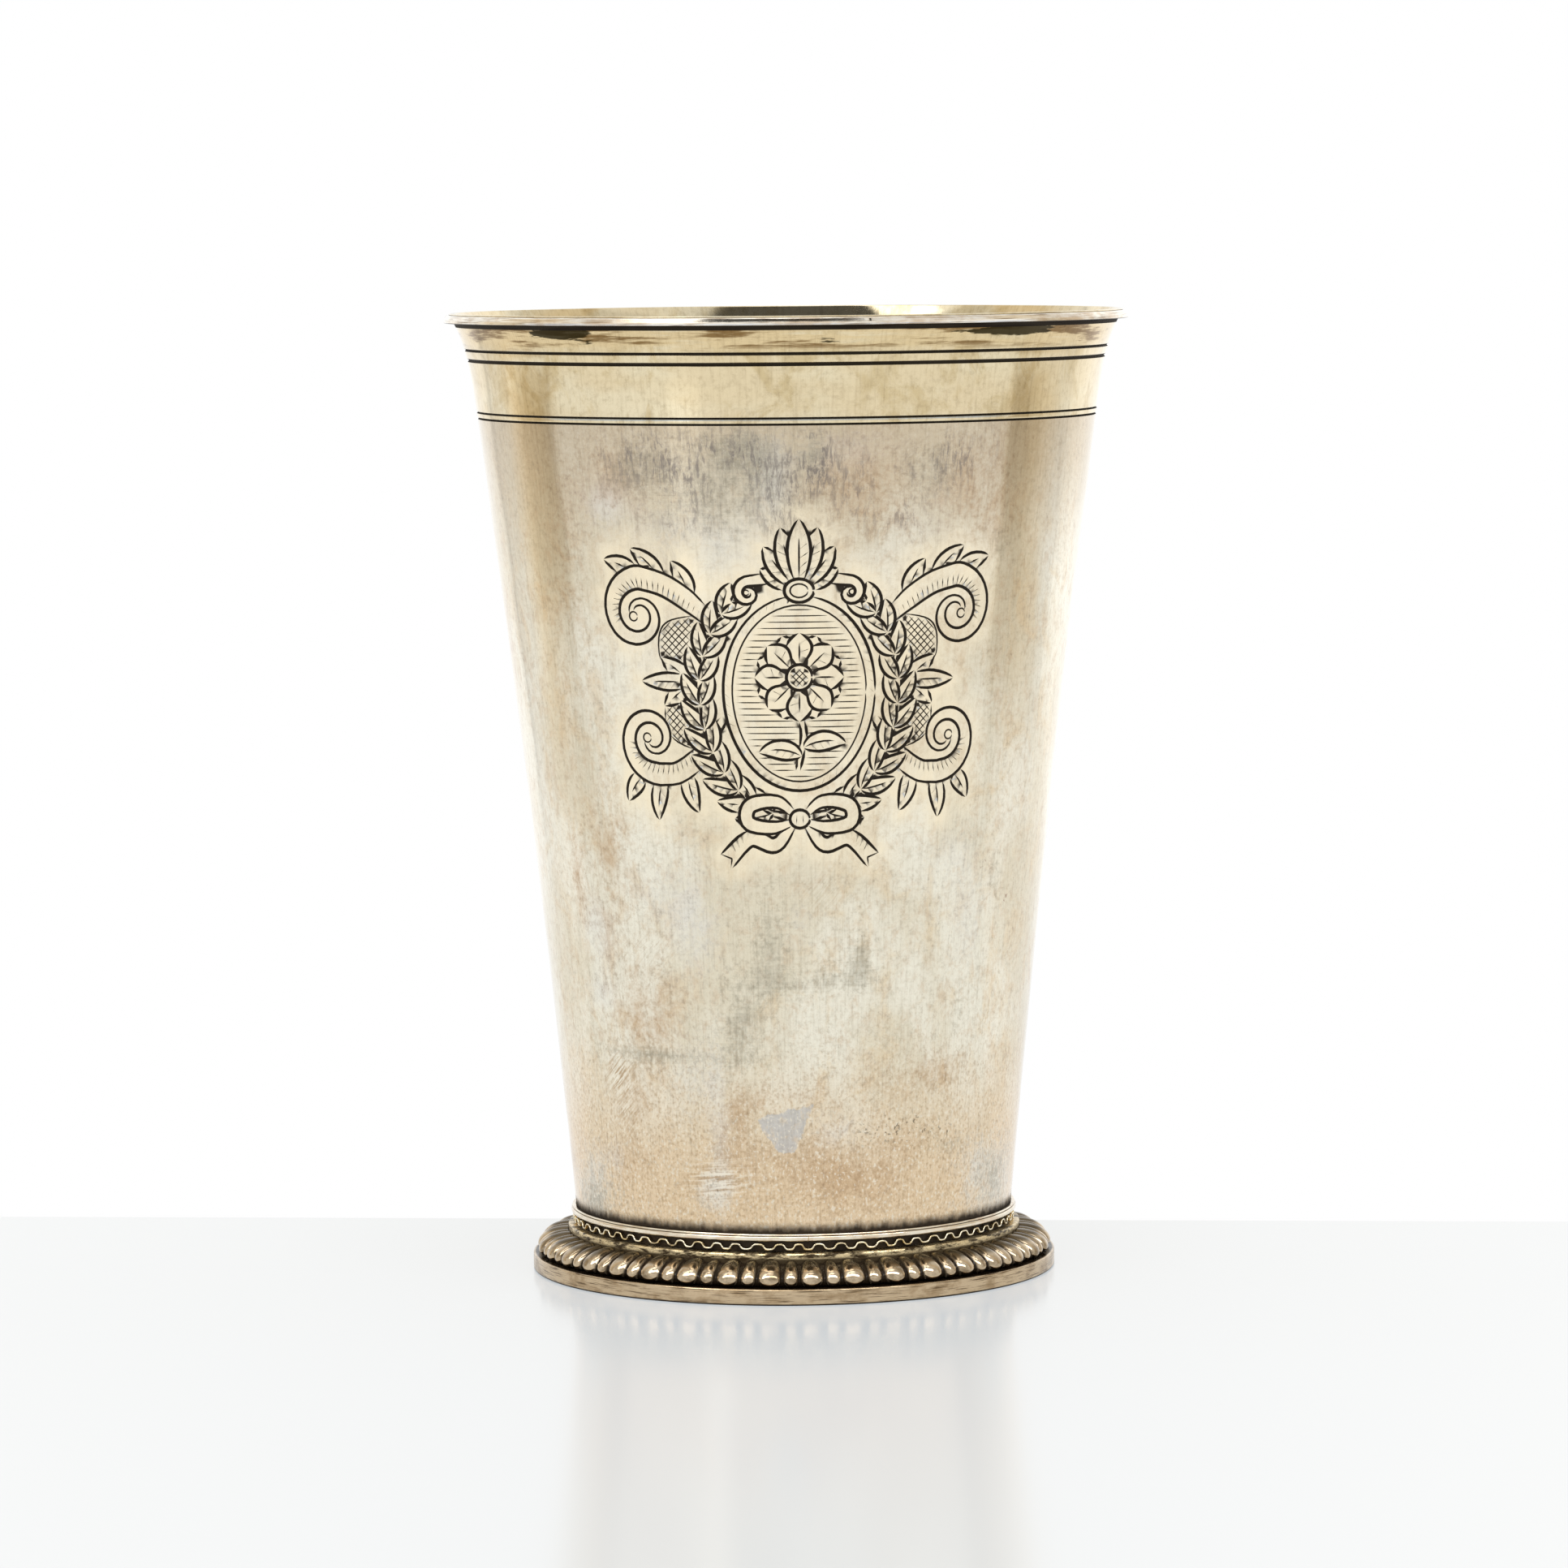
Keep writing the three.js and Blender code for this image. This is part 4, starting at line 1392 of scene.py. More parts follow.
def spread(spots, points):
    """How strongly the spots colour each point."""
    degrees = np.degrees(np.arctan2(points[:, 0], -points[:, 1]))
    total = np.zeros(len(points))
    for angle, level, width, height, strength in spots:
        away = (degrees - angle + 180) % 360 - 180
        total += strength * np.exp(-(away / width) ** 2 - ((points[:, 2] - level) / height) ** 2)
    return np.minimum(total, 1)


def over_wall(outer, inner, engraved):
    """A number for every point of the wall: by row outside, by row inside and one for the engraving."""
    grid = np.tile(np.concatenate([outer, inner]), (COLUMNS, 1))
    return np.concatenate([grid.ravel(), np.full(new_count, float(engraved))])


outside = over_wall(np.ones(len(levels)), np.zeros(len(rest_height)), 1)
for name, spots in FRONT_STAINS.items():
    store(raised_wall, name, outside * spread(spots + spots_behind(SPOTS_BEHIND), wall_points))
for name, spots in FRONT_MARKS.items():
    store(raised_wall, name, outside * spread(spots, wall_points))

hollow = np.clip((levels - HOLLOW_START) / HOLLOW_FADE, 0, 1)
depth_inside = np.clip((INSIDE_START - rest_height) / INSIDE_FADE, 0, 1)
store(raised_wall, "gilding", over_wall(levels > GILT_LEVEL, np.ones(len(rest_height)), 0))
store(raised_wall, "hollow", over_wall(hollow, np.zeros(len(rest_height)), 0))
store(raised_wall, "inside", over_wall(np.zeros(len(levels)), depth_inside, 0))

away = np.array([nearest.find((x, y, 0))[2] for x, y in flat[is_new]])
store(raised_wall, "near", np.concatenate([np.zeros(COLUMNS * rows), np.exp(-away / BURNISHED_REACH)]))
print("stored with the wall:", ", ".join(sorted(raised_wall.data.attributes.keys())))

# %% [markdown]
# ## Building a finish
#
# A metal's colour is the tint of its reflections, so a finish here is a tint, a roughness and a fine
# relief, each mixed from noises of a known grain. The node editor could draw the same graph by hand.
# A small class keeps the script short: its methods add a node and give back its output. Colours are
# written as they look on the screen.

# %% Write down a colour
def rgb(red, green, blue):
    """A colour written as on the screen, 0 to 255, turned into the linear colour that nodes need."""
    parts = [c / 255 for c in (red, green, blue)]
    return [c / 12.92 if c <= 0.04045 else ((c + 0.055) / 1.055) ** 2.4 for c in parts] + [1.0]


print(f"a grey of 128 on the screen is {rgb(128, 128, 128)[0]:.2f} in a node")


# %% Write down a node tree
class Nodes:
    """A node tree that is written down step by step."""

    def __init__(self, tree):
        """Work in the tree of a material or a world."""
        self.tree = tree

    def give(self, socket, value):
        """Set an input to a number or colour, or link it to another node's output."""
        if isinstance(value, bpy.types.NodeSocket):
            self.tree.links.new(value, socket)
        else:
            socket.default_value = value

    def node(self, kind, inputs=(), **settings):
        """A new node with some of its settings, and inputs by their names or numbers."""
        made = self.tree.nodes.new(kind)
        for name, value in settings.items():
            setattr(made, name, value)
        for key, value in dict(inputs).items():
            self.give(made.inputs[key], value)
        return made

    def calc(self, operation, first, second=0.0):
        """One step of arithmetic."""
        return self.node("ShaderNodeMath", {0: first, 1: second}, operation=operation).outputs[0]

    def times(self, first, second):
        """One number times another."""
        return self.calc("MULTIPLY", first, second)

    def plus(self, first, second):
        """Two numbers added."""
        return self.calc("ADD", first, second)

    def part(self, vector, axis):
        """One part of a vector: X, Y or Z."""
        return self.node("ShaderNodeSeparateXYZ", {0: vector}).outputs[axis]

    def between(self, value, low, high, start=0.0, end=1.0, shape="SMOOTHSTEP"):
        """Goes from start to end as a value goes from low to high."""
        ends = {"Value": value, "From Min": low, "From Max": high, "To Min": start, "To Max": end}
        return self.node("ShaderNodeMapRange", ends, interpolation_type=shape).outputs["Result"]

    def mix(self, share, first, second, blend="MIX"):
        """Two colours in one, by a share from 0 to 1."""
        inputs = {0: share, 6: first, 7: second}
        return self.node("ShaderNodeMix", inputs, data_type="RGBA", blend_type=blend).outputs[2]

    def mix_numbers(self, share, first, second):
        """Two numbers in one, by a share from 0 to 1."""
        return self.node("ShaderNodeMix", {0: share, 2: first, 3: second}).outputs[0]


# %% [markdown]
# A finish adds what metal needs. Sizes of its grain are in millimetres. The grain is laid on a drum of one
# radius, so that long brush lines follow the taper of the wall.

# %% A class for finishes
DIRT_AND_SHADE_SHINE = 0.1


class Finish(Nodes):
    """A metal finish."""

    def __init__(self, name, radius=40.0):
        """Start a material, with its grain on a drum of the given radius."""
        self.material = bpy.data.materials.new(name)
        self.material.use_nodes = True
        super().__init__(self.material.node_tree)
        self.shader = self.tree.nodes["Principled BSDF"]
        self.surface("Metallic", 1.0)
        self.place = self.node("ShaderNodeTexCoord").outputs["Object"]
        level_part = self.vector("MULTIPLY", self.place, (0, 0, 1))
        outwards = self.vector("NORMALIZE", self.vector("MULTIPLY", self.place, (1, 1, 0)))
        self.on_drum = self.vector("ADD", level_part, self.vector("MULTIPLY", outwards, [radius * MM] * 3))

    def surface(self, name, value):
        """Give one input of the shader a value."""
        self.give(self.shader.inputs[name], value)

    def vector(self, operation, first, second=(0, 0, 0)):
        """One step of arithmetic with vectors."""
        return self.node("ShaderNodeVectorMath", {0: first, 1: second}, operation=operation).outputs[0]

    def level(self):
        """Height above the table, in metres."""
        return self.part(self.place, "Z")

    def by_level(self, low, high, start=0.0, end=1.0):
        """Goes from start to end between two levels in millimetres."""
        return self.between(self.level(), low * MM, high * MM, start, end)

    def stored(self, name):
        """A number that was stored with the mesh."""
        return self.node("ShaderNodeAttribute", attribute_name=name).outputs["Fac"]

    def grain_at(self, spot, detail, rough, twist):
        """A noise of about 0 to 1 at a spot that is already scaled."""
        inputs = {"Vector": spot, "Scale": 1.0, "Detail": detail, "Roughness": rough, "Distortion": twist}
        return self.node("ShaderNodeTexNoise", inputs).outputs["Fac"]

    def noise(self, across, up, detail=3.0, rough=0.55, twist=0.0):
        """A noise with the given grain across and up."""
        scaled = self.vector("MULTIPLY", self.on_drum, (1 / across / MM, 1 / across / MM, 1 / up / MM))
        return self.grain_at(scaled, detail, rough, twist)

    def centred(self, value, share):
        """A noise moved to the middle of 0 and scaled."""
        return self.times(self.calc("SUBTRACT", value, 0.5), share)

    def relief(self, height, depth):
        """Bump of a depth in millimetres."""
        bump = self.node("ShaderNodeBump", {"Height": height, "Distance": depth * MM})
        self.surface("Normal", bump.outputs["Normal"])

    def dull(self, share, metal=1.0):
        """Take the metal's shine away where dirt and painted shade cover it."""
        self.surface("Metallic", self.times(self.calc("SUBTRACT", 1.0, share), metal))
        self.surface("Specular IOR Level", DIRT_AND_SHADE_SHINE)

    def cover(self, piece):
        """Put the finish on a piece."""
        piece.data.materials.clear()
        piece.data.materials.append(self.material)


# %% [markdown]
# ## Tarnished silver and gilding
#
# The wall has two metals in one surface: silver below the lowest turned line, and gilding above it and
# inside. They could be two materials on two sets of faces, but the marks of use run over both, so both
# are mixed in one finish. The stains come first, then the rub of many polishings, then the black that
# stays in every groove. Behind the crimped ribbon, just above the collar and under the lip wire the wall
# is painted black as well, as dirt and painted shade. Inside, the gilding was never polished, so it is
# soft and partly scatters light.
#
# In the values below, a grain says how wide and how high the patches of a noise are, then its detail,
# its roughness and its twist. A step says between which two values a share changes, and from what to what.

# %% Colours of the wall
SILVER = rgb(228, 219, 196)
PALE_SILVER = rgb(242, 237, 220)
PEACH = rgb(230, 205, 170)
SMOKY = rgb(207, 191, 164)
STRAW = rgb(228, 207, 172)
CREAM = rgb(252, 237, 206)
BLUSH = rgb(208, 183, 153)
BROWN = rgb(196, 163, 126)
GREY = rgb(172, 167, 150)
COOL = rgb(233, 231, 223)
FILM = rgb(199, 198, 196)
GILT = rgb(231, 214, 177)
PALE_GILT = rgb(236, 223, 190)
DEEP_GILT = rgb(212, 192, 149)
# black for the patina in grooves, for dirt and for painted shade
DIRT_AND_SHADE_BLACK = rgb(28, 20, 13)
HOLLOW_GOLD = rgb(226, 204, 160)
HOLLOW_BROWN = rgb(138, 110, 70)
STREAK = rgb(128, 119, 114)
REFLECTED_OLIVE = rgb(46, 38, 16)
RUST = rgb(120, 60, 40)
RUB = rgb(160, 148, 130)
PIT = rgb(244, 236, 218)
CRACK = rgb(178, 148, 112)

# %% Tint of the silver
CLOUD_GRAIN = (20, 28, 4)
PALE_STEP = (0.4, 0.62)
STRAW_STEP = (0.46, 0.74, 0.0, 0.8)
MOTTLE_GRAIN = (2.2, 2.6, 5, 0.7, 0.4)
BLUSH_STEP = (0.48, 0.72, 0.0, 0.5)
PEACH_LEVELS = (16, 44, 0.9, 0.0)
SMOKY_LEVELS = (112, 146, 0.0, 0.9)
PATCH_PLAY = 1.6  # how far patches, grain and linen move the edge of a stain
GRAIN_PLAY = 1.3
LINEN_PLAY = 1.2
STAIN_STEP = (0.1, 1.25, 0.0)
STAIN_TINTS = {"cool": (COOL, 0.8), "brown": (BROWN, 0.7), "grey": (GREY, 0.7)}
LOW_LEVELS = (22, 52, 0.65, 0.15)
POCK_GRAIN = (0.55, 0.6, 2)
CRACK_STEP = (0.36, 0.46, 0.65, 0.0)
PIT_STEP = (0.57, 0.66)
FILM_STEP = (0.5, 0.66, 1.0, 0.4)
FILM_SIDES = [(0.2, -1.0, 31.4), (-1.0, 0.46, -10.6), (0.0, 1.0, -23.9), (1.0, 0.75, -14.9)]
FILM_GRAIN = (1.6, 1.6, 3)
FILM_RAGGED = 2.2
FILM_EDGE = 0.3
FILM_FRONT = (-10 * MM, 0.0, 0.8, 0.0)


def film_share(finish):
    """A thin film of lacquer with four ragged sides, low on the front."""
    aside = finish.part(finish.on_drum, "X")
    behind = finish.part(finish.on_drum, "Y")
    level = finish.level()
    ragged = finish.centred(finish.noise(*FILM_GRAIN), FILM_RAGGED * MM)
    share = finish.between(behind, *FILM_FRONT)
    for across, up, away in FILM_SIDES:
        distance = finish.plus(finish.times(aside, across), finish.times(level, up))
        distance = finish.plus(distance, ragged)
        share = finish.times(share, finish.between(distance, -away * MM, (FILM_EDGE - away) * MM))
    return share


def bare_silver(finish, patches, grain, linen):
    """Tint of the silver: warm below, smoky above, with stains that the linen of polishing breaks up."""
    mottle = finish.noise(*MOTTLE_GRAIN)
    colour = finish.mix(finish.between(finish.noise(*CLOUD_GRAIN), *PALE_STEP), SILVER, PALE_SILVER)
    colour = finish.mix(finish.between(patches, *STRAW_STEP), colour, STRAW)
    colour = finish.mix(finish.between(mottle, *BLUSH_STEP), colour, BLUSH)
    colour = finish.mix(finish.by_level(*PEACH_LEVELS), colour, PEACH)
    colour = finish.mix(finish.by_level(*SMOKY_LEVELS), colour, SMOKY)
    broken = finish.plus(finish.centred(patches, PATCH_PLAY), finish.centred(grain, GRAIN_PLAY))
    rubbed = finish.plus(broken, finish.centred(linen, LINEN_PLAY))
    # the cool spots also lay a painted highlight low on the front
    for name, (stain, strength) in STAIN_TINTS.items():
        share = finish.plus(finish.stored(name), rubbed if name == "grey" else broken)
        colour = finish.mix(finish.between(share, *STAIN_STEP, strength), colour, stain)
    low = finish.by_level(*LOW_LEVELS)
    pocks = finish.noise(*POCK_GRAIN)
    colour = finish.mix(finish.times(finish.between(pocks, *CRACK_STEP), low), colour, CRACK)
    thin = finish.times(film_share(finish), finish.between(mottle, *FILM_STEP))
    colour = finish.mix(thin, colour, FILM)
    return finish.mix(finish.times(finish.between(pocks, *PIT_STEP), low), colour, PIT)


# %% Tint of the gilding
GILT_GRAIN = (16, 9, 3)
GILT_STEP = (0.4, 0.62)
WORN_STEP = (0.46, 0.64, 0.0, 0.9)
WORN_INSIDE = (0, 1, 1.0, 0.25)
SMEAR_GRAIN = (14, 1.3, 5, 0.62)
HOLLOW_STEP = (0.3, 0.5)
SMEAR_STEP = (0.5, 0.62)


def gilding_tint(finish, patches):
    """Tint of the gilding: deeper in patches, with brown smears in the hollow under the lip."""
    gilt = finish.mix(finish.between(finish.noise(*GILT_GRAIN), *GILT_STEP), GILT, PALE_GILT)
    even_inside = finish.between(finish.stored("inside"), *WORN_INSIDE)
    gilt = finish.mix(finish.times(finish.between(patches, *WORN_STEP), even_inside), gilt, DEEP_GILT)
    hollow = finish.stored("hollow")
    smears = finish.noise(*SMEAR_GRAIN)
    gilt = finish.mix(finish.times(hollow, finish.between(smears, *HOLLOW_STEP)), gilt, HOLLOW_GOLD)
    return finish.mix(finish.times(hollow, finish.between(smears, *SMEAR_STEP)), gilt, HOLLOW_BROWN)


# %% [markdown]
# Use and polishing leave marks on top of both metals, and painted dark reflections lie in the hollow
# under the lip. Each kind is one more layer of colour: its stored spots say where it lies, and a noise
# of its own grain says what it looks like there.

# %% Marks of use
RUB_STEP = (0.44, 0.8, 0.0)
BURNISHED_STEP = (0.15, 0.95, 0.0, 0.85)
BURNISHED_PATCHES = (0.34, 0.62, 1.0, 0.4)
STREAK_GRAIN = (0.7, 3.2, 5, 0.75, 0.6)
STREAK_STEP = (0.46, 0.6, 0.05, 0.9)
STREAK_PATCHES = (0.43, 0.56, 0.12, 1.0)
SCRATCH_FIELDS = {"slant": (48, 3.2, 0.32), "across": (4, 6.0, 0.45)}  # slant, length and width
SCRATCH_TWIST = 0.5
SCRATCH_DARK = (0.38, 0.48, 0.9, 0.0)
SCRATCH_PALE = (0.52, 0.6)
OLIVE_GRAIN = (3.0, 0.5, 4)
OLIVE_PLAY = 1.2
OLIVE_STEP = (0.42, 0.58, 0.0, 0.95)
SPECK_GRAIN = (0.7, 0.6, 2)
SPECK_STEP = (0.6, 0.66, 0.0, 0.85)


def scratches(finish, slant, long, short):
    """Noise drawn out into lines at a slant in degrees, good for the front half of the drum."""
    turn = math.radians(slant)
    aside = finish.part(finish.on_drum, "X")
    level = finish.level()
    along = finish.plus(finish.times(aside, math.cos(turn)), finish.times(level, math.sin(turn)))
    off = finish.plus(finish.times(level, math.cos(turn)), finish.times(aside, -math.sin(turn)))
    scaled = {0: finish.times(along, 1 / long / MM), 1: finish.times(off, 1 / short / MM)}
    spot = finish.node("ShaderNodeCombineXYZ", scaled).outputs[0]
    return finish.grain_at(spot, 2.0, 0.5, SCRATCH_TWIST)


def rubbed_tint(finish, colour, patches, brushes):
    """Darken the brush lines of polishing, and burnish the ground near the engraving."""
    for brush, share in brushes:
        colour = finish.mix(finish.between(brush, *RUB_STEP, share), colour, RUB, "MULTIPLY")
    burnished = finish.between(finish.stored("near"), *BURNISHED_STEP)
    burnished = finish.times(burnished, finish.between(patches, *BURNISHED_PATCHES))
    return finish.mix(burnished, colour, CREAM)


def marked_tint(finish, colour, patches):
    """Add streaks, fields of scratches, painted dark reflections under the lip, and specks."""
    flecked = finish.noise(*STREAK_GRAIN)
    streaks = finish.times(finish.stored("streaky"), finish.between(flecked, *STREAK_STEP))
    streaks = finish.times(streaks, finish.between(patches, *STREAK_PATCHES))
    colour = finish.mix(streaks, colour, STREAK)
    for name, field in SCRATCH_FIELDS.items():
        lines = scratches(finish, *field)
        share = finish.stored(name)
        colour = finish.mix(finish.times(share, finish.between(lines, *SCRATCH_DARK)), colour, CRACK)
        colour = finish.mix(finish.times(share, finish.between(lines, *SCRATCH_PALE)), colour, PIT)
    # painted dark reflections in the hollow under the lip wire
    ragged = finish.centred(finish.noise(*OLIVE_GRAIN), OLIVE_PLAY)
    painted_reflection = finish.between(finish.plus(finish.stored("dark_reflection"), ragged), *OLIVE_STEP)
    colour = finish.mix(painted_reflection, colour, REFLECTED_OLIVE)
    specks = finish.between(finish.noise(*SPECK_GRAIN), *SPECK_STEP)
    for name, speck in (("black", DIRT_AND_SHADE_BLACK), ("rust", RUST)):
        colour = finish.mix(finish.times(finish.stored(name), specks), colour, speck)
    return colour


# %% Dirt and painted shade above the collar
FOOT_GRAIN = (1.6, 3.0, 4)
FOOT_RAGGED = 1.6
FOOT_DIRT_AND_SHADE = (0.2, 2.2)  # millimetres above the collar
FOOT_BLACK = 0.97


def foot_dirt_and_shade(finish):
    """Black on the wall behind the ribbon, fading out with a ragged edge above the collar: dirt and painted
    shade.
    """
    ragged = finish.plus(finish.level(), finish.centred(finish.noise(*FOOT_GRAIN), FOOT_RAGGED * MM))
    start, end = ((COLLAR_TOP + above) * MM for above in FOOT_DIRT_AND_SHADE)
    return finish.between(ragged, start, end, FOOT_BLACK, 0.0)


# %% Finish of the wall
PATCH_GRAIN = (6, 8, 6, 0.66, 0.7)
FINE_GRAIN = (1.0, 1.0, 4, 0.7)
UP_GRAIN = (0.45, 7, 5, 0.7, 0.25)
ACROSS_GRAIN = (6, 0.35, 4, 0.65)
UP_RUB = 0.3
ACROSS_RUB = 0.06
FINE_RUB = 0.34
GROOVE_STEP = (0.0, 0.16, 0.0, 0.98)
INSIDE_METAL = 0.8  # the rest of the gilding inside scatters light
ROUGH_STEP = (0.3, 0.75, 0.07, 0.15)
GILT_SMOOTH = 0.02
DIRT_AND_SHADE_ROUGH = 0.7
INSIDE_ROUGH = 0.3
BRUSH_RELIEF = 0.4
WALL_RELIEF = 0.005


def wall_finish():
    """Silver and gilding with their marks, dark patina in every groove, and dirt and painted shade under
    the lip wire and behind the ribbon.
    """
    finish = Finish("tarnished_silver", UNROLL_RADIUS)
    patches = finish.noise(*PATCH_GRAIN)
    grain = finish.noise(*FINE_GRAIN)
    brushed_up = finish.noise(*UP_GRAIN)
    brushed_across = finish.noise(*ACROSS_GRAIN)
    linen = finish.times(finish.plus(brushed_up, brushed_across), 0.5)
    gilding = finish.stored("gilding")
    inside = finish.stored("inside")

    colour = bare_silver(finish, patches, grain, linen)
    colour = finish.mix(gilding, colour, gilding_tint(finish, patches))
    brushes = ((brushed_up, UP_RUB), (brushed_across, ACROSS_RUB), (grain, FINE_RUB))
    colour = rubbed_tint(finish, colour, patches, brushes)
    colour = marked_tint(finish, colour, patches)
    # black in the grooves, and dirt and painted shade behind the ribbon and under the lip wire
    dark = finish.calc("MAXIMUM", foot_dirt_and_shade(finish), finish.between(finish.stored("cut"), *GROOVE_STEP))
    finish.surface("Base Color", finish.mix(dark, colour, DIRT_AND_SHADE_BLACK))
    finish.dull(dark, finish.between(inside, 0, 1, 1.0, INSIDE_METAL))

    rough = finish.between(patches, *ROUGH_STEP)
    rough = finish.calc("SUBTRACT", rough, finish.times(gilding, GILT_SMOOTH))
    rough = finish.calc("MAXIMUM", rough, finish.times(dark, DIRT_AND_SHADE_ROUGH))
    rough = finish.calc("MAXIMUM", rough, finish.times(inside, INSIDE_ROUGH))
    finish.surface("Roughness", rough)
    finish.relief(finish.plus(finish.times(brushed_up, BRUSH_RELIEF), grain), WALL_RELIEF)
    return finish


silver_wall = wall_finish()
silver_wall.cover(raised_wall)
print(f"{silver_wall.material.name}: {len(silver_wall.tree.nodes)} nodes")

# %% [markdown]
# ## Finishes of the foot and the wires
#
# The foot collects dirt. Its hollows are painted black, as dirt and painted shade, and its high places
# are rubbed bright. On the gadroons the stored depth of the gaps says which is which. The neck was
# gilded and is rough, with painted shade on its lower part, the ribbon is pale where its edge is
# rubbed, and the band is covered with the scratches of tables.

# %% Finishes of the gadroons and the neck
BRIGHT_LOBE = rgb(196, 177, 149)
DULL_LOBE = rgb(132, 115, 91)
LOBE_PATINA_AND_SHADE = rgb(74, 64, 46)
GAP_DIRT_AND_SHADE = rgb(46, 36, 25)
LOBE_GRAIN = (3.0, 2.0, 4, 0.6)
LOBE_STEP = (0.42, 0.68)
PATINA_AND_SHADE_LEVELS = (LOBE_TOP - 1.25, LOBE_TOP - 0.55, 0.0, 0.85)
GAP_PLAY = 0.3
GAP_STEP = (0.38, 0.8)
LOBE_ROUGH = (0.3, 0.7, 0.06, 0.13)
PATINA_ROUGH = 0.2
LOBE_RELIEF = 0.012
NECK_GOLD = rgb(218, 198, 156)
NECK_DIRT_AND_SHADE = rgb(62, 48, 28)
NECK_GRAIN = (3.2, 0.7, 5, 0.68)
SPECKLE_GRAIN = (0.25, 0.25, 2)
NECK_SHADE = (NECK_TOP - 1.1, NECK_TOP - 0.6, 0.95, 0.0)
NECK_STEP = (0.44, 0.6)
NECK_ROUGH = (0.3, 0.7, 0.2, 0.4)
NECK_RELIEF = 0.05


def gadroon_finish():
    """Rubbed lobes with gaps painted black, as dirt and painted shade, and a dark patina with painted shade
    where they reach the neck.
    """
    finish = Finish("rubbed_gadroons")
    patches = finish.noise(*LOBE_GRAIN)
    colour = finish.mix(finish.between(patches, *LOBE_STEP), BRIGHT_LOBE, DULL_LOBE)
    # darker towards the neck: patina, and painted shade under the cup
    upper = finish.by_level(*PATINA_AND_SHADE_LEVELS)
    colour = finish.mix(upper, colour, LOBE_PATINA_AND_SHADE)
    # the gaps are painted black by their depth: dirt and painted shade
    dirt_and_shade = finish.plus(finish.stored("gap"), finish.centred(patches, GAP_PLAY))
    black = finish.between(dirt_and_shade, *GAP_STEP)
    finish.surface("Base Color", finish.mix(black, colour, GAP_DIRT_AND_SHADE))
    finish.dull(black)
    rough = finish.plus(finish.between(patches, *LOBE_ROUGH), finish.times(upper, PATINA_ROUGH))
    finish.surface("Roughness", rough)
    finish.relief(patches, LOBE_RELIEF)
    return finish


def neck_finish():
    """Rough gilding with dirt in patches, and painted shade on its lower part."""
    finish = Finish("rough_gilding")
    patches = finish.noise(*NECK_GRAIN)
    speckle = finish.noise(*SPECKLE_GRAIN)
    # dirt in patches, and painted shade low on the neck
    dirt_and_shade = finish.calc("MAXIMUM", finish.by_level(*NECK_SHADE), finish.between(patches, *NECK_STEP))
    finish.surface("Base Color", finish.mix(dirt_and_shade, NECK_GOLD, NECK_DIRT_AND_SHADE))
    finish.dull(dirt_and_shade)
    finish.surface("Roughness", finish.between(speckle, *NECK_ROUGH))
    finish.relief(finish.plus(patches, speckle), NECK_RELIEF)
    return finish


gadroon_finish().cover(gadroons)
neck_finish().cover(neck_fillet)
print("foot:", gadroons.active_material.name, "and", neck_fillet.active_material.name)

# %% [markdown]
# Wires and bands are drawn through a plate or rolled, and that leaves lines along their length. A noise
# that is long across and short upwards gives such lines all the way round.

# %% Finishes of the band, the wires and the floor
BAND_SILVER = rgb(196, 175, 144)
BAND_DULL = rgb(164, 141, 110)
BAND_PINK = rgb(140, 114, 82)
BAND_SCRATCH = rgb(84, 64, 42)
RIBBON_PALE = rgb(250, 240, 212)
RIBBON_GOLD = rgb(214, 192, 142)
COLLAR_SILVER = rgb(238, 229, 209)
COLLAR_PINK = rgb(222, 203, 178)
COLLAR_LINE = rgb(190, 168, 138)
LIP_WHITE = rgb(250, 243, 228)
DRAWN_GRAIN = (4.0, 2.5, 4, 0.6)
DRAWN_STEP = (0.42, 0.66)
DRAWN_LENGTH = 5.0
DRAWN_LINES = 0.12
BAND_LINES = 0.22
FLOOR_LINES = 2.6
LINE_STEP = (0.5, 0.66, 0.0, 0.85)
DRAWN_ROUGH = (0.3, 0.7)
DRAWN_RELIEF = 0.012


def drawn_finish(name, tones, roughness, lines=DRAWN_LINES, metal=1.0):
    """A drawn or rolled metal: two tones in patches, and a third in lines along its length."""
    bright, dull, scratch = tones
    finish = Finish(name)
    patches = finish.noise(*DRAWN_GRAIN)
    drawn = finish.noise(DRAWN_LENGTH, lines, detail=4, rough=0.65, twist=0.15)
    colour = finish.mix(finish.between(patches, *DRAWN_STEP), bright, dull)
    colour = finish.mix(finish.between(drawn, *LINE_STEP), colour, scratch)
    # black where dirt and painted shade were stored
    dirt_and_shade = finish.stored("dirt_and_shade")
    finish.surface("Base Color", finish.mix(dirt_and_shade, colour, DIRT_AND_SHADE_BLACK))
    finish.dull(dirt_and_shade, metal)
    finish.surface("Roughness", finish.between(patches, *DRAWN_ROUGH, *roughness))
    finish.relief(drawn, DRAWN_RELIEF)
    return finish


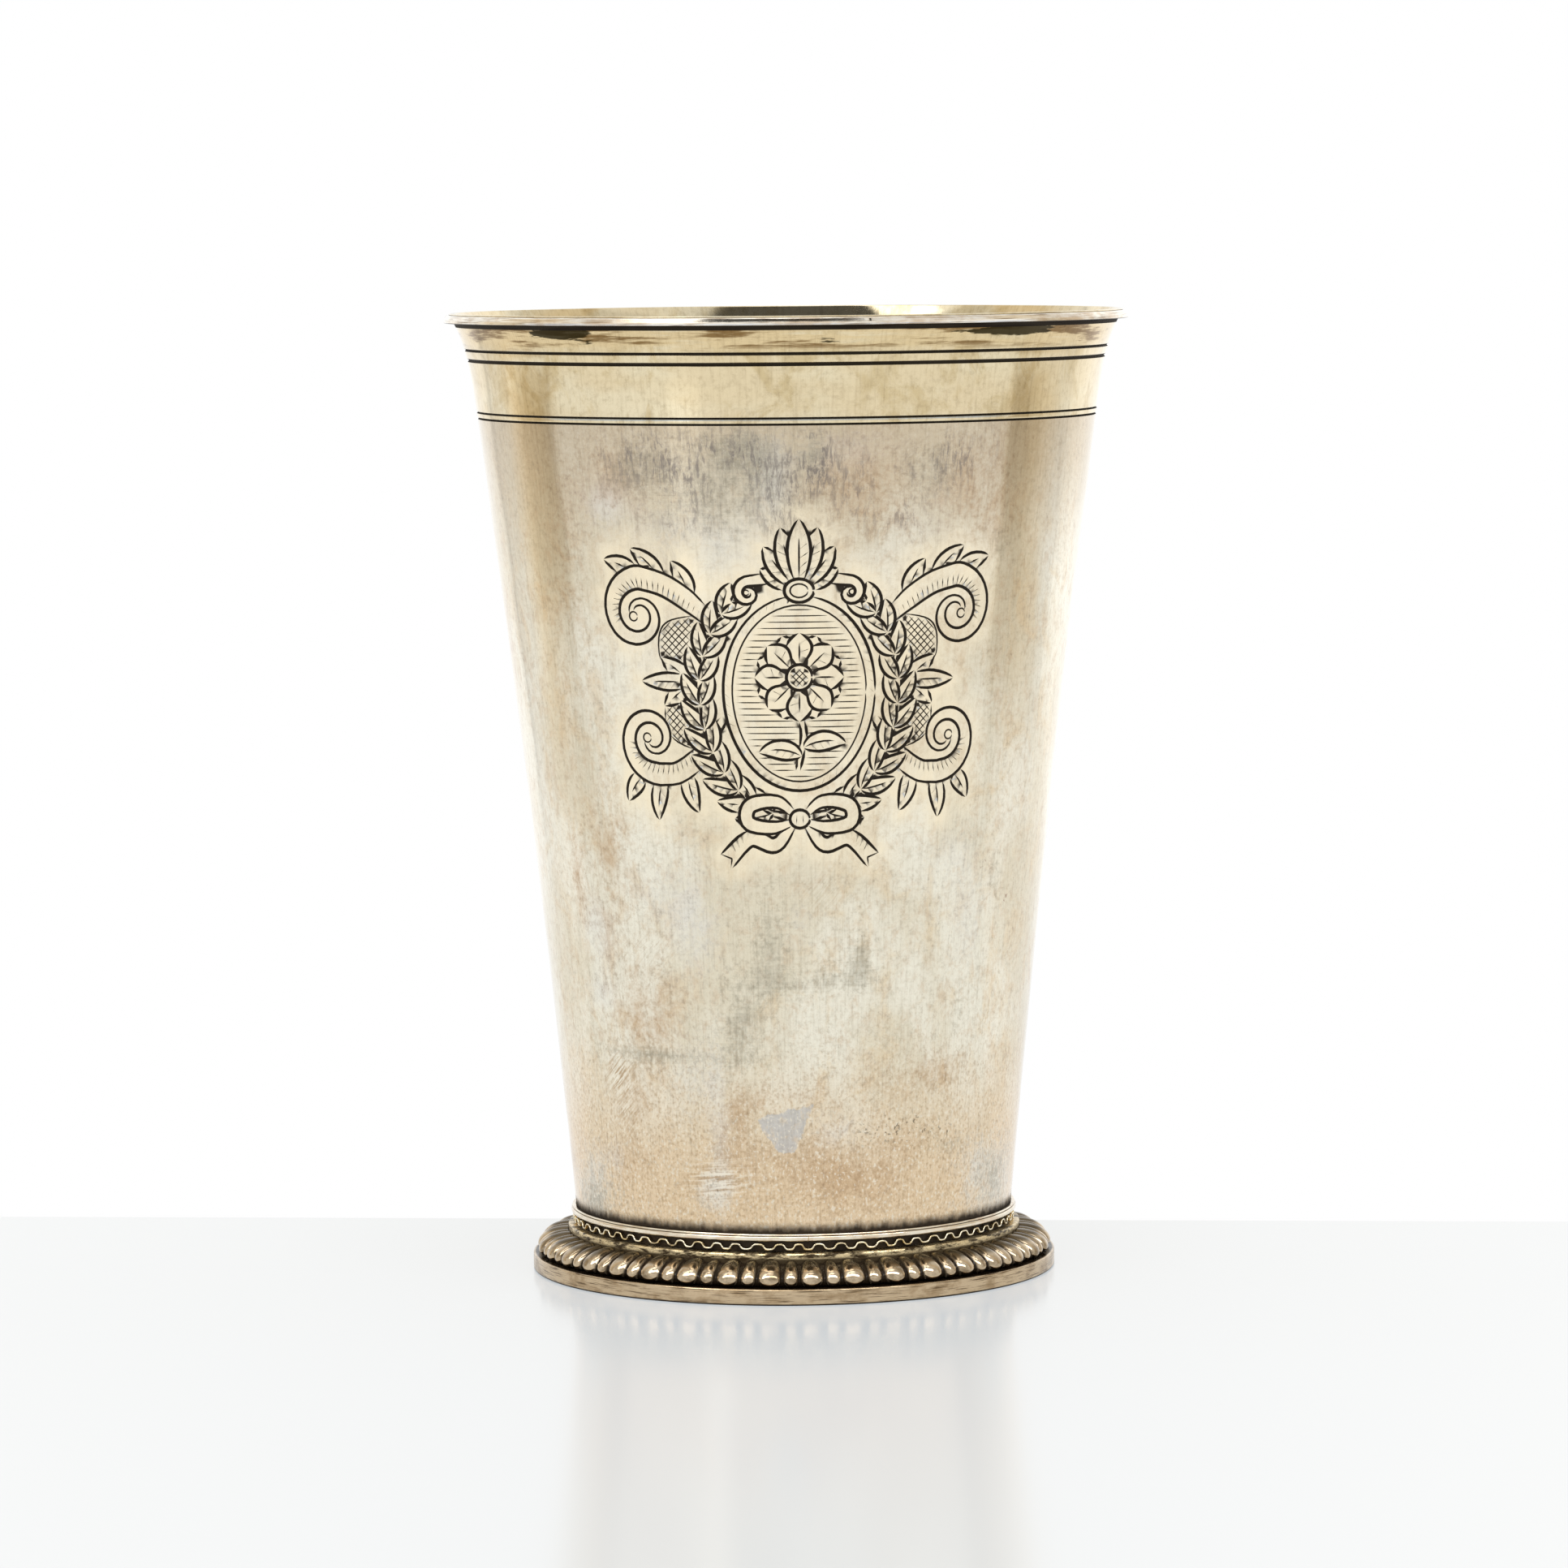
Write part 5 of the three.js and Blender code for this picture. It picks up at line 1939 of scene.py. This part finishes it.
band_tones = (BAND_SILVER, BAND_DULL, BAND_SCRATCH)
ribbon_tones = (RIBBON_PALE, RIBBON_GOLD, BAND_SCRATCH)
collar_tones = (COLLAR_SILVER, COLLAR_PINK, COLLAR_LINE)
lip_tones = (LIP_WHITE, COLLAR_PINK, BAND_PINK)
floor_tones = (PALE_GILT, DEEP_GILT, NECK_GOLD)
drawn_finish("table_worn_band", band_tones, (0.14, 0.26), BAND_LINES).cover(standing_band)
drawn_finish("rubbed_ribbon", ribbon_tones, (0.2, 0.3)).cover(crimped_ribbon)
drawn_finish("drawn_collar", collar_tones, (0.06, 0.12)).cover(reeded_collar)
drawn_finish("worn_lip", lip_tones, (0.04, 0.09)).cover(lip_wire)
drawn_finish("inner_gilding", floor_tones, (0.24, 0.36), FLOOR_LINES, INSIDE_METAL).cover(cup_bottom)
print("finishes:", ", ".join(sorted(m.name for m in bpy.data.materials if m.use_nodes)))

# %% [markdown]
# ## Table
#
# The beaker stands on a pale table that ends a little behind it, and everything beyond is white. One
# large plane does both: behind the table's edge its material turns into plain white. Seen straight, the
# table is slightly cool, with a warm sheen and a soft mirror image of the beaker in it. For reflections in
# the silver the plane fades out some way from the foot, so that the wall mirrors the white room and not an
# endless table.

# %% Finish of the table
TABLE_EDGE = 47.0
EDGE_WIDTH = 1.0
TABLE_TURN = math.radians(4.4)
TABLE_GLOSS = 0.33
TABLE_ROUGH = 0.16
TABLE_GLOW = 0.7
NEAR_TABLE = (300.0 * MM, 700.0 * MM)
TABLE_PALE = rgb(241, 242, 242)
TABLE_WHITE = rgb(250, 251, 251)
COOL_PALE = rgb(234, 241, 246)
COOL_WHITE = rgb(243, 250, 255)
TABLE_SHEEN = rgb(249, 239, 228)
WHITE = (1.0, 1.0, 1.0, 1.0)


def table_material():
    """A satin table up to its edge, white beyond it, and open to far reflections."""
    finish = Finish("pale_table")
    finish.tree.nodes.remove(finish.shader)

    def shader(kind, inputs=()):
        """One kind of surface."""
        return finish.node(kind, inputs).outputs[0]

    def both(share, first, second):
        """Two surfaces in one, by a share from 0 to 1."""
        return shader("ShaderNodeMixShader", {0: share, 1: first, 2: second})

    slant = finish.times(finish.part(finish.place, "X"), math.tan(TABLE_TURN))
    back = finish.plus(finish.part(finish.place, "Y"), slant)
    beyond = finish.between(back, TABLE_EDGE * MM, (TABLE_EDGE + EDGE_WIDTH) * MM)
    reach = finish.node("ShaderNodeVectorMath", {0: finish.place}, operation="LENGTH")
    far = finish.between(reach.outputs["Value"], *NEAR_TABLE)
    path = finish.node("ShaderNodeLightPath").outputs
    seen_straight = path["Is Camera Ray"]

    matt = shader("ShaderNodeBsdfDiffuse", {"Color": finish.mix(seen_straight, TABLE_PALE, COOL_PALE)})
    glow = shader("ShaderNodeEmission", {"Color": finish.mix(seen_straight, TABLE_WHITE, COOL_WHITE)})
    satin = shader("ShaderNodeBsdfGlossy", {"Color": TABLE_SHEEN, "Roughness": TABLE_ROUGH})
    white = shader("ShaderNodeEmission", {"Color": WHITE})
    top = both(finish.times(seen_straight, TABLE_GLOSS), both(TABLE_GLOW, matt, glow), satin)
    open_to_metal = finish.times(path["Is Glossy Ray"], far)
    ground = both(open_to_metal, both(beyond, top, white), shader("ShaderNodeBsdfTransparent"))
    finish.give(finish.tree.nodes["Material Output"].inputs["Surface"], ground)
    return finish


# %% Make the table
TABLE_SIZE = 4000.0
TABLE_CORNERS = ((-1, -1), (1, -1), (1, 1), (-1, 1))

half_table = TABLE_SIZE / 2 * MM
table_points = [(x * half_table, y * half_table, 0.0) for x, y in TABLE_CORNERS]
table_mesh = bpy.data.meshes.new("table")
table_mesh.from_pydata(table_points, [], [(0, 1, 2, 3)])
table = bpy.data.objects.new("table", table_mesh)
bpy.context.scene.collection.objects.link(table)
table_material().cover(table)
print(f"table edge {TABLE_EDGE:.0f} mm behind the axis")

# %% [markdown]
# ## Light
#
# Polished metal shows the room, so the room is the light here: a white tent with a darker gap on each
# side, a soft box high on the left, a dim opening above the camera and a bright top. A photo of a studio
# could be wrapped round the scene, but a tent drawn by the world is easier to change. Four lists give its
# brightness by the bearing (0 at the front, to the right positive), from what lies low to what hangs
# overhead. Three more say where it is tinted: cool low in front, and warm in the gaps.

# %% Light of the tent
LOW_TENT = [
    (-180, 1.0), (-172, 1.1), (-148, 1.12), (-145, 1.0), (-143.5, 0.72), (-141, 0.95), (-121, 0.98),
    (-116, 0.8), (-102, 0.66), (-98.5, 0.64), (-96.5, 0.93), (-60, 0.97), (-47, 1.02), (-43, 1.25),
    (-35, 1.25), (-31, 0.98), (-12, 0.95), (0, 0.92), (14, 0.93), (40, 0.97), (91, 0.94), (92.5, 0.56),
    (102, 0.64), (112, 0.84), (130, 0.97), (132, 1.1), (145, 1.22), (172, 1.15), (180, 1.0),
]
HIGH_TENT = [
    (-180, 1.0), (-150, 1.0), (-96, 0.8), (-74, 0.75), (-70, 1.6), (-50, 1.6), (-44, 0.8), (40, 0.8),
    (46, 0.9), (54, 0.9), (60, 0.7), (120, 0.8), (150, 1.0), (180, 1.0),
]
GAP_TENT = [
    (-180, 1.0), (-150, 1.0), (-96, 0.85), (-76, 1.2), (-72, 2.6), (-46, 2.6), (-41, 0.1), (32, 0.1),
    (38, 0.75), (60, 0.9), (120, 0.85), (150, 1.0), (180, 1.0),
]
TOP_TENT = [(-180, 1.4), (-90, 0.9), (-70, 0.9), (-56, 2.4), (56, 2.4), (70, 0.9), (90, 0.9), (180, 1.4)]
HIGH_START = (26, 30)  # elevations over which the next list takes over
GAP_START = (45, 48)
TOP_START = (67, 71)
COOL_HORIZON = [(-90, 0.0), (-12, 0.0), (-9, 1.0), (-3, 1.0), (-1, 0.0), (90, 0.0)]
COOL_FRONT = [(-180, 0.0), (-104, 0.0), (-90, 1.0), (84, 1.0), (92, 0.0), (180, 0.0)]
COOL_TINT = rgb(205, 222, 255)
WARM_SIDES = [
    (-180, 0.0), (-130, 0.0), (-118, 1.0), (-100, 1.0), (-95, 0.0), (90, 0.0), (92, 1.0), (106, 1.0),
    (124, 0.0), (180, 0.0),
]
WARM_TINT = rgb(255, 243, 222)
DIFFUSE_LEVEL = 0.95
print(f"room: {len(LOW_TENT)} low and {len(HIGH_TENT)} high bearings")

# %% [markdown]
# The world gets these lists as curves over the direction of a ray. Only reflections see the tent. What
# scatters light gets an even white from all sides, and the camera itself sees plain white.

# %% Make the room
world = bpy.data.worlds.new("white_tent")
bpy.context.scene.world = world
world.use_nodes = True
world.node_tree.nodes.clear()
room = Nodes(world.node_tree)


def by_angle(value, stops):
    """A number by an angle, from a list of stops in degrees."""
    low, high = stops[0][0], stops[-1][0]
    share = room.between(value, math.radians(low), math.radians(high), shape="LINEAR")
    ramp = room.node("ShaderNodeFloatCurve", {0: 1.0, 1: share})
    curve = ramp.mapping.curves[0]
    ramp.mapping.use_clip = False
    while len(curve.points) > 2:
        curve.points.remove(curve.points[1])
    curve.points[0].location = (0.0, stops[0][1])
    curve.points[-1].location = (1.0, stops[-1][1])
    for angle, bright in stops[1:-1]:
        curve.points.new((angle - low) / (high - low), bright)
    for point in curve.points:
        point.handle_type = "VECTOR"
    ramp.mapping.update()
    return ramp.outputs[0]


direction = room.node("ShaderNodeTexCoord").outputs["Generated"]
towards_front = room.times(room.part(direction, "Y"), -1.0)
bearing = room.calc("ARCTAN2", room.part(direction, "X"), towards_front)
elevation = room.calc("ARCSINE", room.part(direction, "Z"))
ray = room.node("ShaderNodeLightPath").outputs
in_metal = ray["Is Glossy Ray"]

tent = by_angle(bearing, LOW_TENT)
for stops, (start, end) in ((HIGH_TENT, HIGH_START), (GAP_TENT, GAP_START), (TOP_TENT, TOP_START)):
    above = room.between(elevation, math.radians(start), math.radians(end), shape="LINEAR")
    tent = room.mix_numbers(above, tent, by_angle(bearing, stops))
strength = room.mix_numbers(in_metal, DIFFUSE_LEVEL, tent)
strength = room.mix_numbers(ray["Is Camera Ray"], strength, 1.0)
cool = room.times(by_angle(elevation, COOL_HORIZON), by_angle(bearing, COOL_FRONT))
tint = room.mix(room.times(by_angle(bearing, WARM_SIDES), in_metal), WHITE, WARM_TINT)
tint = room.mix(room.times(cool, in_metal), tint, COOL_TINT)
light = room.node("ShaderNodeBackground", {"Color": tint, "Strength": strength})
room.give(room.node("ShaderNodeOutputWorld").inputs["Surface"], light.outputs[0])
print(f"{world.name}: {len(world.node_tree.nodes)} nodes")

# %% [markdown]
# Two soft lamps add what the tent alone can't give. The soft box overhead makes the shadow on the table,
# and it stays out of the reflections, because the tent already shows a bright top. The strip light in
# front makes the highlight on each lobe. It is linked to the rings of the foot, so the wall doesn't
# show it.

# %% Hang the lamps
LAMP_TARGET = Vector((0, 0, 80)) * MM
LAMPS = {
    "top_softbox": (5, 76, 1200, (300, 300), 2.4),
    "strip_light": (0, 32, 189, (500, 70), 0.7),
}  # bearing and height in degrees, distance and size in millimetres, power in watts


def hang_lamp(name, bearing, height, distance, size, power):
    """A soft lamp that faces the beaker."""
    lamp = bpy.data.lights.new(name, "AREA")
    lamp.shape = "RECTANGLE"
    lamp.size, lamp.size_y = size[0] * MM, size[1] * MM
    lamp.energy = power
    hung = bpy.data.objects.new(name, lamp)
    turn, rise = math.radians(bearing), math.radians(height)
    towards = Vector((math.sin(turn) * math.cos(rise), -math.cos(turn) * math.cos(rise), math.sin(rise)))
    hung.location = LAMP_TARGET + towards * distance * MM
    hung.rotation_euler = towards.to_track_quat("Z", "Y").to_euler()
    bpy.context.scene.collection.objects.link(hung)
    return hung


lamps = {name: hang_lamp(name, *settings) for name, settings in LAMPS.items()}
lamps["top_softbox"].visible_glossy = False
lamps["strip_light"].visible_diffuse = False
lamps["strip_light"].visible_camera = False
foot_pieces = bpy.data.collections.new("foot_pieces")
for piece in (standing_band, gadroons, neck_fillet, crimped_ribbon, reeded_collar):
    foot_pieces.objects.link(piece)
lamps["strip_light"].light_linking.receiver_collection = foot_pieces
bpy.context.scene.view_settings.view_transform = "Standard"
print("lamps:", ", ".join(LAMPS))
